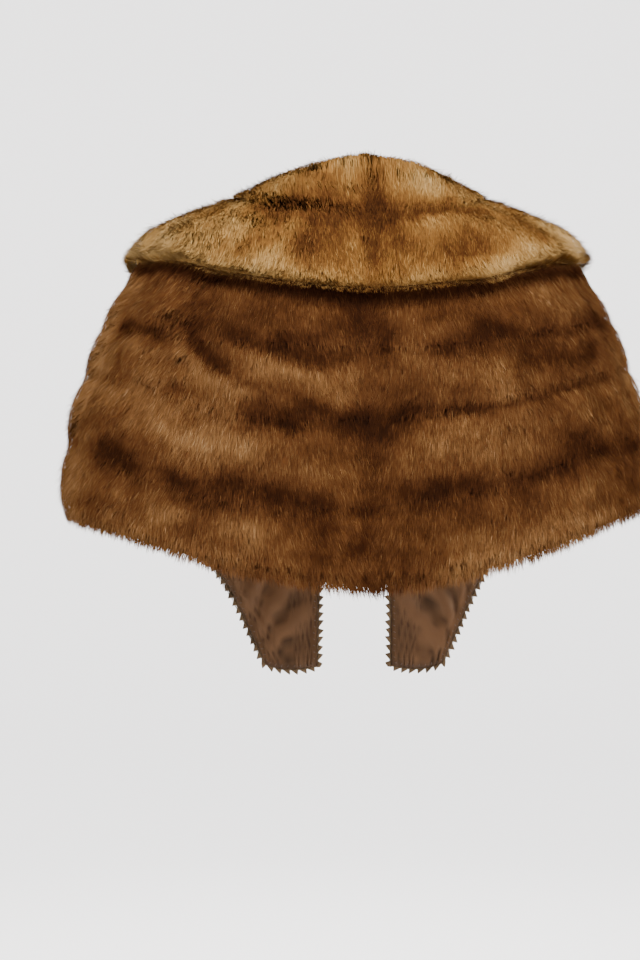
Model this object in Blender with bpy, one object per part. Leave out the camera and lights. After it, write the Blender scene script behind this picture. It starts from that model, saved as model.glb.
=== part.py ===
# A waist-length fur cape with a wide fold-over collar, hollow and open at the front, as it hangs
# when it is worn. It is sewn from rows of pelts that run round the body and down the two front tabs.
# Metres. +X is the wearer's right, +Y the way the wearer faces, +Z up. The origin is the middle of
# the neck opening.

import bmesh
import bpy
import numpy as np

COLLECTION = "fur_cape"
SIDES = {"right": 1, "left": -1}

SEAM_GAP = 0.0003          # between pieces that are sewn to each other
FUR_DEPTH = 0.013          # leather and hair of the body rows
COVERED_DEPTH = 0.007      # the same where the collar presses it flat
COLLAR_DEPTH = 0.017
STAND_DEPTH = 0.009        # the collar's hair against the neck
HAIR_LEAN = 0.010          # how far the hair tips lie below their roots
LINING_OUTSIDE = 0.0004    # the satin's two faces, measured inwards from the leather
LINING_INSIDE = 0.0016
TRIM_OUTSIDE = 0.0007
TRIM_INSIDE = 0.0017
TRIM_INSET = 0.004         # how far the trim reaches in under the edge
LINING_INSET = 0.0052      # from the same edge to the lining's
TOOTH_DEPTH = 0.006
TOOTH_PITCH = 0.0091
FOLD_RADIUS = 0.007        # of the leather at the collar's roll
COLLAR_CLEARANCE = 0.0095  # from the body's leather to the collar's
FALL_LIFT = 0.004          # the collar stands off this much more where it leaves the roll
FALL_LIFT_SHARE = 0.08     # and the lift fades out over this share of the way down
CENTRE_GAP = 0.0009        # from the centre back to the first section, in u
STEPS_ROUND = 26           # sections from the centre back to the end of a tab
COLLAR_STEPS = 25
COLLAR_END = 0.90          # where the collar runs out on the front edge, in u
TRIM_START = 0.92          # where the trim ends on the front edge, in u
TAB_BEGINS = 0.60          # from here in u the hair turns to lie along the tab
TAB_TURNS = 0.20           # and it has turned after this much more
TAB_LEAN = 0.1             # the share of the lean that is left on the tab
TAB_THINS = 0.95           # from here to the tab's end the fur gets thinner
TAB_THINNED = 0.45         # by this share
PRESSED_BELOW = 0.05       # share below the collar's edge in which the fur is still pressed flat
PRESSED_TO_FULL = 0.09     # share in which it rises to its full depth

# The leather's outer face, for the right half. u goes round from the centre back, 0, over the
# shoulder, 0.5, to the end of the front tab, 1. Each row has u and the points at these shares of the
# way from the neck and front edge down to the hem and the tab's outer edge.
SHARES = (0.0, 0.2, 0.35, 0.5, 0.75, 1.0)
STATIONS = (
    (0.00, (0.000, -0.072, 0.000), (0.000, -0.103, -0.073), (0.000, -0.123, -0.131),
     (0.000, -0.138, -0.190), (0.000, -0.152, -0.291), (0.000, -0.160, -0.392)),
    (0.14, (0.030, -0.065, 0.000), (0.067, -0.094, -0.066), (0.094, -0.113, -0.119),
     (0.110, -0.126, -0.177), (0.125, -0.139, -0.276), (0.133, -0.146, -0.374)),
    (0.28, (0.053, -0.047, -0.004), (0.116, -0.069, -0.054), (0.164, -0.082, -0.093),
     (0.191, -0.092, -0.147), (0.218, -0.101, -0.245), (0.231, -0.105, -0.345)),
    (0.40, (0.066, -0.023, -0.007), (0.141, -0.035, -0.042), (0.203, -0.042, -0.074),
     (0.232, -0.047, -0.126), (0.267, -0.051, -0.226), (0.281, -0.053, -0.330)),
    (0.50, (0.070, 0.002, -0.009), (0.148, 0.002, -0.039), (0.214, 0.002, -0.070),
     (0.243, 0.002, -0.120), (0.280, 0.002, -0.220), (0.294, 0.002, -0.324)),
    (0.62, (0.058, 0.045, -0.029), (0.140, 0.052, -0.056), (0.196, 0.060, -0.099),
     (0.227, 0.066, -0.153), (0.258, 0.070, -0.245), (0.273, 0.070, -0.334)),
    (0.74, (0.045, 0.092, -0.095), (0.108, 0.107, -0.118), (0.154, 0.114, -0.155),
     (0.184, 0.117, -0.204), (0.211, 0.118, -0.280), (0.226, 0.116, -0.355)),
    (0.87, (0.038, 0.132, -0.260), (0.068, 0.139, -0.272), (0.092, 0.143, -0.290),
     (0.114, 0.145, -0.311), (0.138, 0.145, -0.348), (0.155, 0.143, -0.388)),
    (1.00, (0.040, 0.147, -0.500), (0.054, 0.149, -0.503), (0.064, 0.150, -0.504),
     (0.074, 0.150, -0.504), (0.086, 0.150, -0.502), (0.098, 0.149, -0.498)),
)
FRONT_SHIFT = 0.007        # the tabs hang this far to the wearer's right of the centre back
SHIFT_FROM, SHIFT_OVER = 0.65, 0.30  # the shift starts here in u and grows over this much
HEM_LIFT = {1: 0.010, -1: -0.003}    # how much higher the hem hangs at each side

# The seams between the five body rows of each side, as shares of the way down.
# Columns: u, first, second, third and fourth seam.
ROW_SEAMS = {
    -1: ((0.00, 0.22, 0.440, 0.612, 0.822), (0.14, 0.23, 0.460, 0.640, 0.855),
         (0.28, 0.26, 0.525, 0.648, 0.860), (0.40, 0.27, 0.545, 0.660, 0.838),
         (0.50, 0.27, 0.550, 0.675, 0.825), (0.74, 0.26, 0.510, 0.675, 0.835),
         (1.00, 0.25, 0.480, 0.680, 0.850)),
    1: ((0.00, 0.22, 0.440, 0.612, 0.822), (0.14, 0.23, 0.460, 0.608, 0.818),
        (0.28, 0.25, 0.500, 0.630, 0.812), (0.40, 0.26, 0.525, 0.652, 0.820),
        (0.50, 0.27, 0.535, 0.668, 0.826), (0.74, 0.26, 0.500, 0.670, 0.830),
        (1.00, 0.25, 0.480, 0.680, 0.850)),
}

# The collar. Columns: u, height of the stand, how upright the stand is, and the shares of the way
# down at which the seam of its two rows and its edge lie.
COLLAR = (
    (0.00, 0.011, 0.7, 0.090, 0.300),
    (0.14, 0.006, 0.7, 0.096, 0.312),
    (0.28, 0.004, 0.7, 0.106, 0.342),
    (0.40, 0.004, 0.7, 0.117, 0.372),
    (0.50, 0.004, 0.6, 0.122, 0.386),
    (0.62, 0.004, 0.3, 0.122, 0.385),
    (0.74, 0.004, 0.0, 0.110, 0.350),
    (0.84, 0.004, 0.0, 0.085, 0.260),
    (0.90, 0.003, 0.0, 0.055, 0.140),
)

# The soft folds that the cape hangs in. Columns: side, u and share at the middle, half width in u,
# half length in share, lean in u for each share, and depth, which is below 0 for a ridge.
FOLDS = (
    (-1, 0.23, 0.50, 0.035, 0.22, -0.10, 0.0060),
    (-1, 0.33, 0.66, 0.035, 0.30, 0.08, -0.0050),
    (-1, 0.42, 0.62, 0.030, 0.34, 0.05, 0.0065),
    (-1, 0.10, 0.82, 0.040, 0.22, 0.05, 0.0040),
    (-1, 0.61, 0.70, 0.030, 0.40, 0.00, 0.0080),
    (-1, 0.72, 0.66, 0.032, 0.34, -0.06, 0.0060),
    (1, 0.43, 0.13, 0.050, 0.12, 0.00, -0.0040),
    (1, 0.20, 0.46, 0.032, 0.20, 0.12, 0.0055),
    (1, 0.31, 0.78, 0.040, 0.26, -0.05, 0.0050),
    (1, 0.40, 0.50, 0.030, 0.26, 0.04, 0.0060),
    (1, 0.12, 0.74, 0.040, 0.20, -0.06, -0.0040),
    (1, 0.58, 0.66, 0.030, 0.38, 0.04, 0.0075),
    (1, 0.70, 0.72, 0.032, 0.32, 0.05, 0.0065),
)

# How high the fur stands across a row, as a share of its depth. The hair of each row lies over the
# top of the next one. Columns: share of the row's width, height.
ROW_SHAPE = ((0.0, 0.62), (0.14, 0.84), (0.40, 1.0), (0.72, 1.0), (0.94, 0.94), (1.0, 0.62))
HEM_SHAPE = ((0.0, 0.62), (0.14, 0.84), (0.40, 1.0), (0.72, 1.0), (0.95, 0.86), (1.03, 0.40))

FUR_BROWN = (0.105, 0.048, 0.018, 1.0)
COLLAR_GOLD = (0.185, 0.090, 0.032, 1.0)
SATIN_TAUPE = (0.150, 0.098, 0.060, 1.0)
TRIM_TAUPE = (0.110, 0.068, 0.040, 1.0)


def clear_scene():
    for item in list(bpy.data.objects):
        bpy.data.objects.remove(item, do_unlink=True)


def material(name, colour, roughness):
    finish = bpy.data.materials.new(name)
    finish.use_nodes = True
    shader = finish.node_tree.nodes["Principled BSDF"]
    shader.inputs["Base Color"].default_value = colour
    shader.inputs["Roughness"].default_value = roughness
    shader.inputs["Metallic"].default_value = 0.0
    return finish


def smooth_step(value):
    part = np.clip(value, 0.0, 1.0)
    return part * part * (3 - 2 * part)


def unit(vectors):
    return vectors / np.linalg.norm(vectors, axis=-1, keepdims=True)


def through(knots, rows, at):
    """Reads a smooth curve through the rows, one row for each knot, at each value of at."""
    knots = np.asarray(knots, float)
    slopes = np.gradient(rows, knots, axis=0)
    first = np.clip(np.searchsorted(knots, at, side="right") - 1, 0, len(knots) - 2)
    width = knots[first + 1] - knots[first]
    part = (at - knots[first]) / width
    own = np.arange(len(at)) % rows.shape[1]
    spread = (slice(None),) + (None,) * (rows.ndim - 2)
    width, part = width[spread], part[spread]
    start, end = rows[first, own], rows[first + 1, own]
    leave, arrive = slopes[first, own] * width, slopes[first + 1, own] * width
    square, cube = part ** 2, part ** 3
    return ((2 * cube - 3 * square + 1) * start + (cube - 2 * square + part) * leave
            + (3 * square - 2 * cube) * end + (cube - square) * arrive)


def column(table, index, u):
    rows = np.array([row[index] for row in table])[:, None, None]
    return through([row[0] for row in table], rows, u)[:, 0]


def station_table():
    """The stations, with the first one past the centre back mirrored so that the back is smooth."""
    knots = [-STATIONS[1][0]] + [row[0] for row in STATIONS]
    points = np.array([row[1:] for row in STATIONS])
    mirrored = points[1] * (-1, 1, 1)
    return np.array(knots), np.concatenate([mirrored[None], points])


def plain_cloth(u, share):
    knots, points = station_table()
    inside = np.clip(share, 0.0, 1.0)
    down = np.repeat(points.transpose(1, 0, 2)[:, None], len(u), axis=1)
    lines = through(SHARES, down, inside).transpose(1, 0, 2)
    return through(knots, lines, u)


def fold_depth(side, u, share):
    depth = np.zeros(len(u))
    for fold_side, middle, level, half_width, half_length, lean, deep in FOLDS:
        if fold_side != side:
            continue
        along = (share - level) / half_length
        across = (u - middle - lean * (share - level)) / half_width
        depth += deep * np.exp(-across ** 2) * np.exp(-along ** 4)
    return depth


def cloth(side, u, share):
    """The leather's outer face, its outward normal and the direction towards the hem."""
    step = 0.004
    u, share = np.broadcast_arrays(np.asarray(u, float), np.asarray(share, float))
    shape = u.shape
    u, share = u.ravel(), share.ravel()
    low = np.clip(share, 0.0, 1.0 - step)
    round_way = plain_cloth(u + step, low) - plain_cloth(u - step, low)
    down_way = plain_cloth(u, low + step) - plain_cloth(u, low)
    normal = unit(np.cross(down_way, round_way))
    beyond = (share - np.clip(share, 0.0, 1.0))[:, None] * down_way / step
    folded = normal * fold_depth(side, u, np.clip(share, 0.0, 1.0))[:, None]
    point = plain_cloth(u, share) + beyond - folded
    mirror = np.array((side, 1, 1))
    point = point * mirror
    point[:, 0] += FRONT_SHIFT * smooth_step((u - SHIFT_FROM) / SHIFT_OVER)
    point[:, 2] += HEM_LIFT[side] * np.clip(share, 0, 1) ** 2 * np.sin(np.pi * np.clip(u, 0, 1))
    return tuple(item.reshape(shape + (3,)) for item in (point, normal * mirror, unit(down_way) * mirror))


def length_down(u):
    """How long the cape is at u from its upper edge to its lower one."""
    shares = np.linspace(0.0, 1.0, 9)
    lines = np.array([plain_cloth(u, np.full(len(u), share)) for share in shares])
    return np.linalg.norm(np.diff(lines, axis=0), axis=2).sum(axis=0)


def lean(u):
    """The tips hang below the roots at the back and lie along the edges of the tabs."""
    return HAIR_LEAN * (1.0 - (1.0 - TAB_LEAN) * smooth_step((u - TAB_BEGINS) / TAB_TURNS))


def fur_depth(u, share):
    """Flat under the collar, full below it and thinner at the ends of the tabs."""
    edge = column(COLLAR, 4, np.minimum(u, COLLAR_END)) * (1.0 - smooth_step((u - COLLAR_END) / 0.03))
    free = smooth_step((share - edge - PRESSED_BELOW) / PRESSED_TO_FULL)
    depth = COVERED_DEPTH + (FUR_DEPTH - COVERED_DEPTH) * free
    return depth * (1.0 - TAB_THINNED * smooth_step((u - TAB_THINS) / (1.0 - TAB_THINS)))


def fur_point(side, u, share, height):
    """A point in the fur at this share of its depth, over the root at this share of the way down."""
    tip_share = share + lean(u) * height / length_down(u)
    point, normal, _ = cloth(side, u, tip_share)
    return point + normal * (height * fur_depth(u, tip_share))[:, None]


def row_edges(side, row, u):
    """The shares at which a body row starts and ends, with half of each seam's gap taken off."""
    half_gap = SEAM_GAP / 2 / length_down(u)
    seams = ROW_SEAMS[side]
    top = np.zeros(len(u)) if row == 1 else column(seams, row - 1, u) + half_gap
    bottom = np.ones(len(u)) if row == 5 else column(seams, row, u) - half_gap
    return top, bottom


def add_solid(name, rings, finish):
    """Joins closed sections into one solid. Its diagonals match those of the piece beside it."""
    count, size = rings.shape[:2]
    faces = []
    for ring in range(count - 1):
        for place in range(size):
            after = (place + 1) % size
            corners = [ring * size + place, (ring + 1) * size + place,
                       (ring + 1) * size + after, ring * size + after]
            if place == size - 1:
                corners = corners[1:] + corners[:1]
            faces.append((corners[0], corners[1], corners[2]))
            faces.append((corners[0], corners[2], corners[3]))
    faces.append(tuple(range(size)))
    faces.append(tuple((count - 1) * size + place for place in range(size)))
    mesh = bpy.data.meshes.new(name)
    mesh.from_pydata(rings.reshape(-1, 3).tolist(), [], faces)
    work = bmesh.new()
    work.from_mesh(mesh)
    bmesh.ops.recalc_face_normals(work, faces=work.faces)
    bmesh.ops.triangulate(work, faces=[face for face in work.faces if len(face.verts) > 3])
    work.to_mesh(mesh)
    work.free()
    mesh.shade_smooth()
    mesh.materials.append(finish)
    item = bpy.data.objects.new(name, mesh)
    bpy.data.collections[COLLECTION].objects.link(item)
    return item


def even_places(last, steps):
    """Places in u from the centre back to the last one, evenly spaced along the cape's two edges."""
    fine = np.linspace(0.0, last, 200)
    edges = [plain_cloth(fine, np.full(len(fine), share)) for share in (0.0, 1.0)]
    spans = sum(np.linalg.norm(np.diff(edge, axis=0), axis=1) for edge in edges)
    travelled = np.concatenate([[0.0], np.cumsum(spans)])
    places = np.interp(np.linspace(0.0, travelled[-1], steps + 1), travelled, fine)
    places[0] = CENTRE_GAP
    return places


def add_body_row(word, side, row):
    u = even_places(1.0, STEPS_ROUND)
    top, bottom = row_edges(side, row, u)
    shape = HEM_SHAPE if row == 5 else ROW_SHAPE
    outside = [fur_point(side, u, top + (bottom - top) * along, np.full(len(u), height))
               for along, height in shape]
    inside = [cloth(side, u, top + (bottom - top) * along)[0] for along in (1.0, 0.5, 0.0)]
    rings = np.stack(outside + inside, axis=1)
    name = f"body_row_{row}_{word}"
    add_solid(name, rings, material(name, FUR_BROWN, 0.6))


def collar_lines(side, u):
    """Guide points of the collar's leather at u: up the stand, over the roll and down the fall."""
    zeros = np.zeros(len(u))
    neck, normal, down = cloth(side, u, zeros)
    stand, upright = column(COLLAR, 1, u)[:, None], column(COLLAR, 2, u)[:, None]
    seam, edge = column(COLLAR, 3, u), column(COLLAR, 4, u)
    rise = unit(-down * (1 - upright) + np.array((0, 0, 1)) * upright)
    out = unit(normal - rise * (normal * rise).sum(axis=1, keepdims=True))
    radius = FOLD_RADIUS
    roll = [neck + rise * SEAM_GAP,
            neck + rise * stand,
            neck + rise * (stand + 0.7 * radius) + out * 0.3 * radius,
            neck + rise * (stand + radius) + out * radius,
            neck + rise * (stand + 0.6 * radius) + out * 1.75 * radius,
            neck + rise * (stand * 0.7 - 0.001) + out * 2.1 * radius]
    shares = [seam * 0.6] + [seam + (edge - seam) * part for part in (0.0, 0.25, 0.5, 0.75, 1.0)]
    fall = []
    for share in shares:
        point, normal, _ = cloth(side, u, share)
        lift = COLLAR_CLEARANCE + FALL_LIFT * np.exp(-(share / FALL_LIFT_SHARE) ** 2)
        fall.append(point + normal * lift[:, None])
    return np.array(roll + fall)


# Places along the collar's section at which its guide points lie, from the neck seam to the edge.
COLLAR_KNOTS = (0.0, 1.5, 2.2, 2.9, 3.6, 4.6, 6.0, 7.0, 9.0, 11.0, 13.0, 15.0)
COLLAR_SEAM = 7.0
COLLAR_SEAM_GAP = 0.013    # half of the gap between the two rows, in places along the collar
COLLAR_EDGE = 15.0
STAND_TOP = 2.2


def collar_skin(side, u, way):
    """The collar's leather, its normal to the hair side and the direction towards its edge."""
    step = 0.02
    lines = collar_lines(side, u)
    point = through(COLLAR_KNOTS, lines, way)
    low = np.clip(way, 0.0, COLLAR_EDGE - step)
    along = through(COLLAR_KNOTS, lines, low + step) - through(COLLAR_KNOTS, lines, low)
    shift = 0.003
    beside = (through(COLLAR_KNOTS, collar_lines(side, u + shift), low)
              - through(COLLAR_KNOTS, collar_lines(side, np.maximum(u - shift, 0.0)), low))
    normal = unit(np.cross(along, beside)) * side
    return point, normal, unit(along)


def collar_depth(u, way):
    rolled = smooth_step((way - 1.0) / 4.0)
    depth = STAND_DEPTH + (COLLAR_DEPTH - STAND_DEPTH) * rolled
    return depth * (1.0 - 0.5 * smooth_step((u - COLLAR_END + 0.10) / 0.10))


def collar_point(side, u, way, height, reach=0.0):
    way = np.full(len(u), float(way))
    point, normal, down = collar_skin(side, u, np.clip(way, 0.0, COLLAR_EDGE))
    tip = height * HAIR_LEAN * smooth_step((way - STAND_TOP) / 4.0)
    return point + down * (tip + reach)[:, None] + normal * (height * collar_depth(u, way))[:, None]


# Sections of the two collar rows. Columns: place along the collar, height in the fur, reach past it.
COLLAR_TOP_SHAPE = ((0.0, 0.60, 0.0), (0.7, 0.95, 0.0), (1.7, 1.0, 0.0), (2.5, 1.0, 0.0),
                    (3.3, 1.0, 0.0), (4.2, 1.0, 0.0), (5.4, 0.96, 0.0), (7.0, 0.66, 0.0))
COLLAR_LOW_SHAPE = ((7.0, 0.66, 0.0), (8.2, 0.86, 0.0), (10.5, 1.0, 0.0), (12.8, 1.0, 0.0),
                    (14.5, 0.88, 0.002), (15.0, 0.42, 0.003))
COLLAR_TOP_INSIDE = (7.0, 5.6, 4.2, 3.3, 2.5, 1.7, 0.0)
COLLAR_LOW_INSIDE = (15.0, 12.3, 9.7, 7.0)


def add_collar_row(word, side, place, shape, inside_places):
    u = even_places(COLLAR_END, COLLAR_STEPS)
    shift = -COLLAR_SEAM_GAP if place == "top" else COLLAR_SEAM_GAP
    rings = []
    for way, height, reach in shape:
        moved = way + (shift if way == COLLAR_SEAM else 0.0)
        rings.append(collar_point(side, u, moved, height, reach))
    for way in inside_places:
        moved = way + (shift if way == COLLAR_SEAM else 0.0)
        rings.append(collar_point(side, u, moved, 0.0))
    name = f"collar_{place}_row_{word}"
    add_solid(name, np.stack(rings, axis=1), material(name, COLLAR_GOLD, 0.55))


def inward(side, u, share, depth):
    point, normal, _ = cloth(side, u, share)
    return point - normal * depth


def square_to(vectors, along):
    """The part of each vector that is square to the direction beside it."""
    along = unit(along)
    return vectors - along * (vectors * along).sum(axis=1, keepdims=True)


def ways(u, share):
    """The cloth's two directions for each unit of u and of share, measured inside its edges."""
    step = 0.01
    u, share = np.broadcast_arrays(np.asarray(u, float), np.asarray(share, float))
    low_u, low_share = np.minimum(u, 1.0 - step), np.minimum(share, 1.0 - step)
    start = plain_cloth(low_u, low_share)
    return ((plain_cloth(low_u + step, low_share) - start) / step,
            (plain_cloth(low_u, low_share + step) - start) / step)


def share_over(u, share, distance):
    """How much of the way down lies within this distance of the edge at u and share."""
    round_way, down_way = ways(u, share)
    return distance / np.linalg.norm(square_to(down_way, round_way), axis=1)


def tab_end(share, distance):
    """The place in u that lies this far up from the tab's end."""
    round_way, down_way = ways(np.ones(1), share)
    return 1.0 - distance / np.linalg.norm(square_to(round_way, down_way), axis=1)[0]


def lining_shares(side, u):
    """The lining's lines follow the rows, and its edges stop where the trim starts."""
    trimmed = smooth_step((u - TRIM_START + 0.03) / 0.02)
    seams = [row_edges(side, row, u)[1] for row in range(1, 5)]
    top = share_over(u, 0.0, SEAM_GAP + (LINING_INSET - SEAM_GAP) * trimmed)
    bottom = 1.0 - share_over(u, 1.0, LINING_INSET)
    lines = [top] + seams + [bottom]
    shares = [top]
    for start, end in zip(lines, lines[1:]):
        shares += [(start + end) / 2, end]
    return shares


def add_lining(word, side):
    u = even_places(1.0, STEPS_ROUND)
    shares = lining_shares(side, u)
    lines = []
    for share in shares:
        line = u.copy()
        line[-1] = tab_end(share[-1], LINING_INSET)
        lines.append(line)
    inside = [inward(side, line, share, LINING_INSIDE) for line, share in zip(lines, shares)]
    outside = [inward(side, line, share, LINING_OUTSIDE) for line, share in zip(lines, shares)]
    name = f"lining_{word}"
    rings = np.stack(inside + outside[::-1], axis=1)
    add_solid(name, rings, material(name, SATIN_TAUPE, 0.35))


def trimmed_edge(side):
    """The points of the edge that carries the trim, its ways outwards and its normals, in order."""
    u = even_places(1.0, STEPS_ROUND)
    tab_shares = np.array([share[-1] for share in lining_shares(side, u)])[-2:0:-1]
    hem_u = np.append(u[:-1], (tab_end(1.0, TRIM_INSET), 1.0))
    front_u = np.append((1.0, tab_end(0.0, TRIM_INSET)), u[-2:np.sum(u < TRIM_START) - 1:-1])
    stretches = ((hem_u, np.ones(len(hem_u))), (np.ones(len(tab_shares)), tab_shares),
                 (front_u, np.zeros(len(front_u))))
    hem, tab, front = [ways(u, share) for u, share in stretches]
    hem_out = unit(square_to(hem[1], hem[0]))
    tab_out = unit(square_to(tab[0], tab[1]))
    front_out = -unit(square_to(front[1], front[0]))
    hem_out[-1] += tab_out[0]
    front_out[0] += tab_out[-1]
    out = np.concatenate([unit(hem_out), tab_out, unit(front_out)]) * (side, 1, 1)
    sewn = [cloth(side, u, share) for u, share in stretches]
    return (np.concatenate([line[0] for line in sewn]), out,
            np.concatenate([line[1] for line in sewn]))


def add_trim(word, side):
    """A flat strip with a pointed tooth every pitch, cut from the edge's own points."""
    point, out, normal = trimmed_edge(side)
    travelled = np.concatenate([[0.0], np.cumsum(np.linalg.norm(np.diff(point, axis=0), axis=1))])
    teeth = int(travelled[-1] / TOOTH_PITCH)
    marks = np.linspace(0.0, travelled[-1], 2 * teeth + 1)

    def along(values):
        return np.stack([np.interp(marks, travelled, values[:, axis]) for axis in range(3)], axis=1)

    point, out, normal = along(point), along(out), along(normal)
    valley = np.arange(len(marks)) % 2 == 0
    reach = np.where(valley, 0.0005, TOOTH_DEPTH)[:, None]
    inner, outer = point - out * TRIM_INSET, point + out * reach
    rings = np.stack([inner - normal * TRIM_OUTSIDE, outer - normal * TRIM_OUTSIDE,
                      outer - normal * TRIM_INSIDE, inner - normal * TRIM_INSIDE], axis=1)
    name = f"sawtooth_trim_{word}"
    add_solid(name, rings, material(name, TRIM_TAUPE, 0.5))


def build():
    clear_scene()
    home = bpy.data.collections.new(COLLECTION)
    bpy.context.scene.collection.children.link(home)
    for word, side in SIDES.items():
        for row in range(1, 6):
            add_body_row(word, side, row)
        add_collar_row(word, side, "top", COLLAR_TOP_SHAPE, COLLAR_TOP_INSIDE)
        add_collar_row(word, side, "low", COLLAR_LOW_SHAPE, COLLAR_LOW_INSIDE)
        add_lining(word, side)
        add_trim(word, side)


build()
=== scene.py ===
import math

import bmesh
import bpy
import numpy as np
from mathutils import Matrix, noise


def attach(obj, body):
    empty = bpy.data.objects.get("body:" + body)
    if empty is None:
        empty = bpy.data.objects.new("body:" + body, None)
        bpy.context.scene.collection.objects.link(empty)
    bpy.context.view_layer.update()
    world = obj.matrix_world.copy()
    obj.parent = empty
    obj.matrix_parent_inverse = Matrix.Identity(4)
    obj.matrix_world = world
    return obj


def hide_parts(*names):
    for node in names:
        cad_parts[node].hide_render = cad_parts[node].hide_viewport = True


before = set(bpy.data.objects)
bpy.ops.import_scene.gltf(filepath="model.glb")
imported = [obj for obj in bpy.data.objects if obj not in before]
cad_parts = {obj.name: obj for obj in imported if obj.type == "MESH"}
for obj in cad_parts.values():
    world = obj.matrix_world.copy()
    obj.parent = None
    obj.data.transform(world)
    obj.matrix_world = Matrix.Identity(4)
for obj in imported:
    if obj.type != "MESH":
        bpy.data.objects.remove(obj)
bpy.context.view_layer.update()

bpy.ops.object.select_all(action="DESELECT")

# The body of the cape: five rows of brown mink on each side of the centre back, sewn edge to edge
# and hung over the shoulders. Each row is a strip of leather with thick underfur, and its longer
# guard hair lies downwards over the top of the next row.
SIDES = {"right": 1, "left": -1}
SEAM_GAP = 0.0003
FUR_DEPTH = 0.013
COVERED_DEPTH = 0.007
PRESSED_BELOW, PRESSED_TO_FULL = 0.05, 0.09
TAB_THINS, TAB_THINS_OVER, TAB_THINNED = 0.95, 0.05, 0.45
COLLAR_END = 0.90
# The leather's outer face on the right. Columns: u, which goes from the centre back, 0, over the
# shoulder, 0.5, to the end of the front tab, 1, and the points at these shares of the way down.
SHARES = (0.0, 0.2, 0.35, 0.5, 0.75, 1.0)
STATIONS = (
    (0.00, (0.000, -0.072, 0.000), (0.000, -0.103, -0.073), (0.000, -0.123, -0.131),
     (0.000, -0.138, -0.190), (0.000, -0.152, -0.291), (0.000, -0.160, -0.392)),
    (0.14, (0.030, -0.065, 0.000), (0.067, -0.094, -0.066), (0.094, -0.113, -0.119),
     (0.110, -0.126, -0.177), (0.125, -0.139, -0.276), (0.133, -0.146, -0.374)),
    (0.28, (0.053, -0.047, -0.004), (0.116, -0.069, -0.054), (0.164, -0.082, -0.093),
     (0.191, -0.092, -0.147), (0.218, -0.101, -0.245), (0.231, -0.105, -0.345)),
    (0.40, (0.066, -0.023, -0.007), (0.141, -0.035, -0.042), (0.203, -0.042, -0.074),
     (0.232, -0.047, -0.126), (0.267, -0.051, -0.226), (0.281, -0.053, -0.330)),
    (0.50, (0.070, 0.002, -0.009), (0.148, 0.002, -0.039), (0.214, 0.002, -0.070),
     (0.243, 0.002, -0.120), (0.280, 0.002, -0.220), (0.294, 0.002, -0.324)),
    (0.62, (0.058, 0.045, -0.029), (0.140, 0.052, -0.056), (0.196, 0.060, -0.099),
     (0.227, 0.066, -0.153), (0.258, 0.070, -0.245), (0.273, 0.070, -0.334)),
    (0.74, (0.045, 0.092, -0.095), (0.108, 0.107, -0.118), (0.154, 0.114, -0.155),
     (0.184, 0.117, -0.204), (0.211, 0.118, -0.280), (0.226, 0.116, -0.355)),
    (0.87, (0.038, 0.132, -0.260), (0.068, 0.139, -0.272), (0.092, 0.143, -0.290),
     (0.114, 0.145, -0.311), (0.138, 0.145, -0.348), (0.155, 0.143, -0.388)),
    (1.00, (0.040, 0.147, -0.500), (0.054, 0.149, -0.503), (0.064, 0.150, -0.504),
     (0.074, 0.150, -0.504), (0.086, 0.150, -0.502), (0.098, 0.149, -0.498)),
)
FRONT_SHIFT, SHIFT_FROM, SHIFT_OVER = 0.007, 0.65, 0.3
HEM_LIFT = {1: 0.010, -1: -0.003}
# The seams between the five rows of each side. Columns: u, and their shares of the way down.
ROW_SEAMS = {
    -1: ((0.00, 0.22, 0.440, 0.612, 0.822), (0.14, 0.23, 0.460, 0.640, 0.855),
         (0.28, 0.26, 0.525, 0.648, 0.860), (0.40, 0.27, 0.545, 0.660, 0.838),
         (0.50, 0.27, 0.550, 0.675, 0.825), (0.74, 0.26, 0.510, 0.675, 0.835),
         (1.00, 0.25, 0.480, 0.680, 0.850)),
    1: ((0.00, 0.22, 0.440, 0.612, 0.822), (0.14, 0.23, 0.460, 0.608, 0.818),
        (0.28, 0.25, 0.500, 0.630, 0.812), (0.40, 0.26, 0.525, 0.652, 0.820),
        (0.50, 0.27, 0.535, 0.668, 0.826), (0.74, 0.26, 0.500, 0.670, 0.830),
        (1.00, 0.25, 0.480, 0.680, 0.850)),
}
# The collar, under which the body's fur is pressed flat. Columns: u, height of the stand, how
# upright it is, and the shares of the way down of its seam and of its edge.
COLLAR = (
    (0.00, 0.011, 0.7, 0.090, 0.300), (0.14, 0.006, 0.7, 0.096, 0.312),
    (0.28, 0.004, 0.7, 0.106, 0.342), (0.40, 0.004, 0.7, 0.117, 0.372),
    (0.50, 0.004, 0.6, 0.122, 0.386), (0.62, 0.004, 0.3, 0.122, 0.385),
    (0.74, 0.004, 0.0, 0.110, 0.350), (0.84, 0.004, 0.0, 0.085, 0.260),
    (0.90, 0.003, 0.0, 0.055, 0.140),
)
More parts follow.
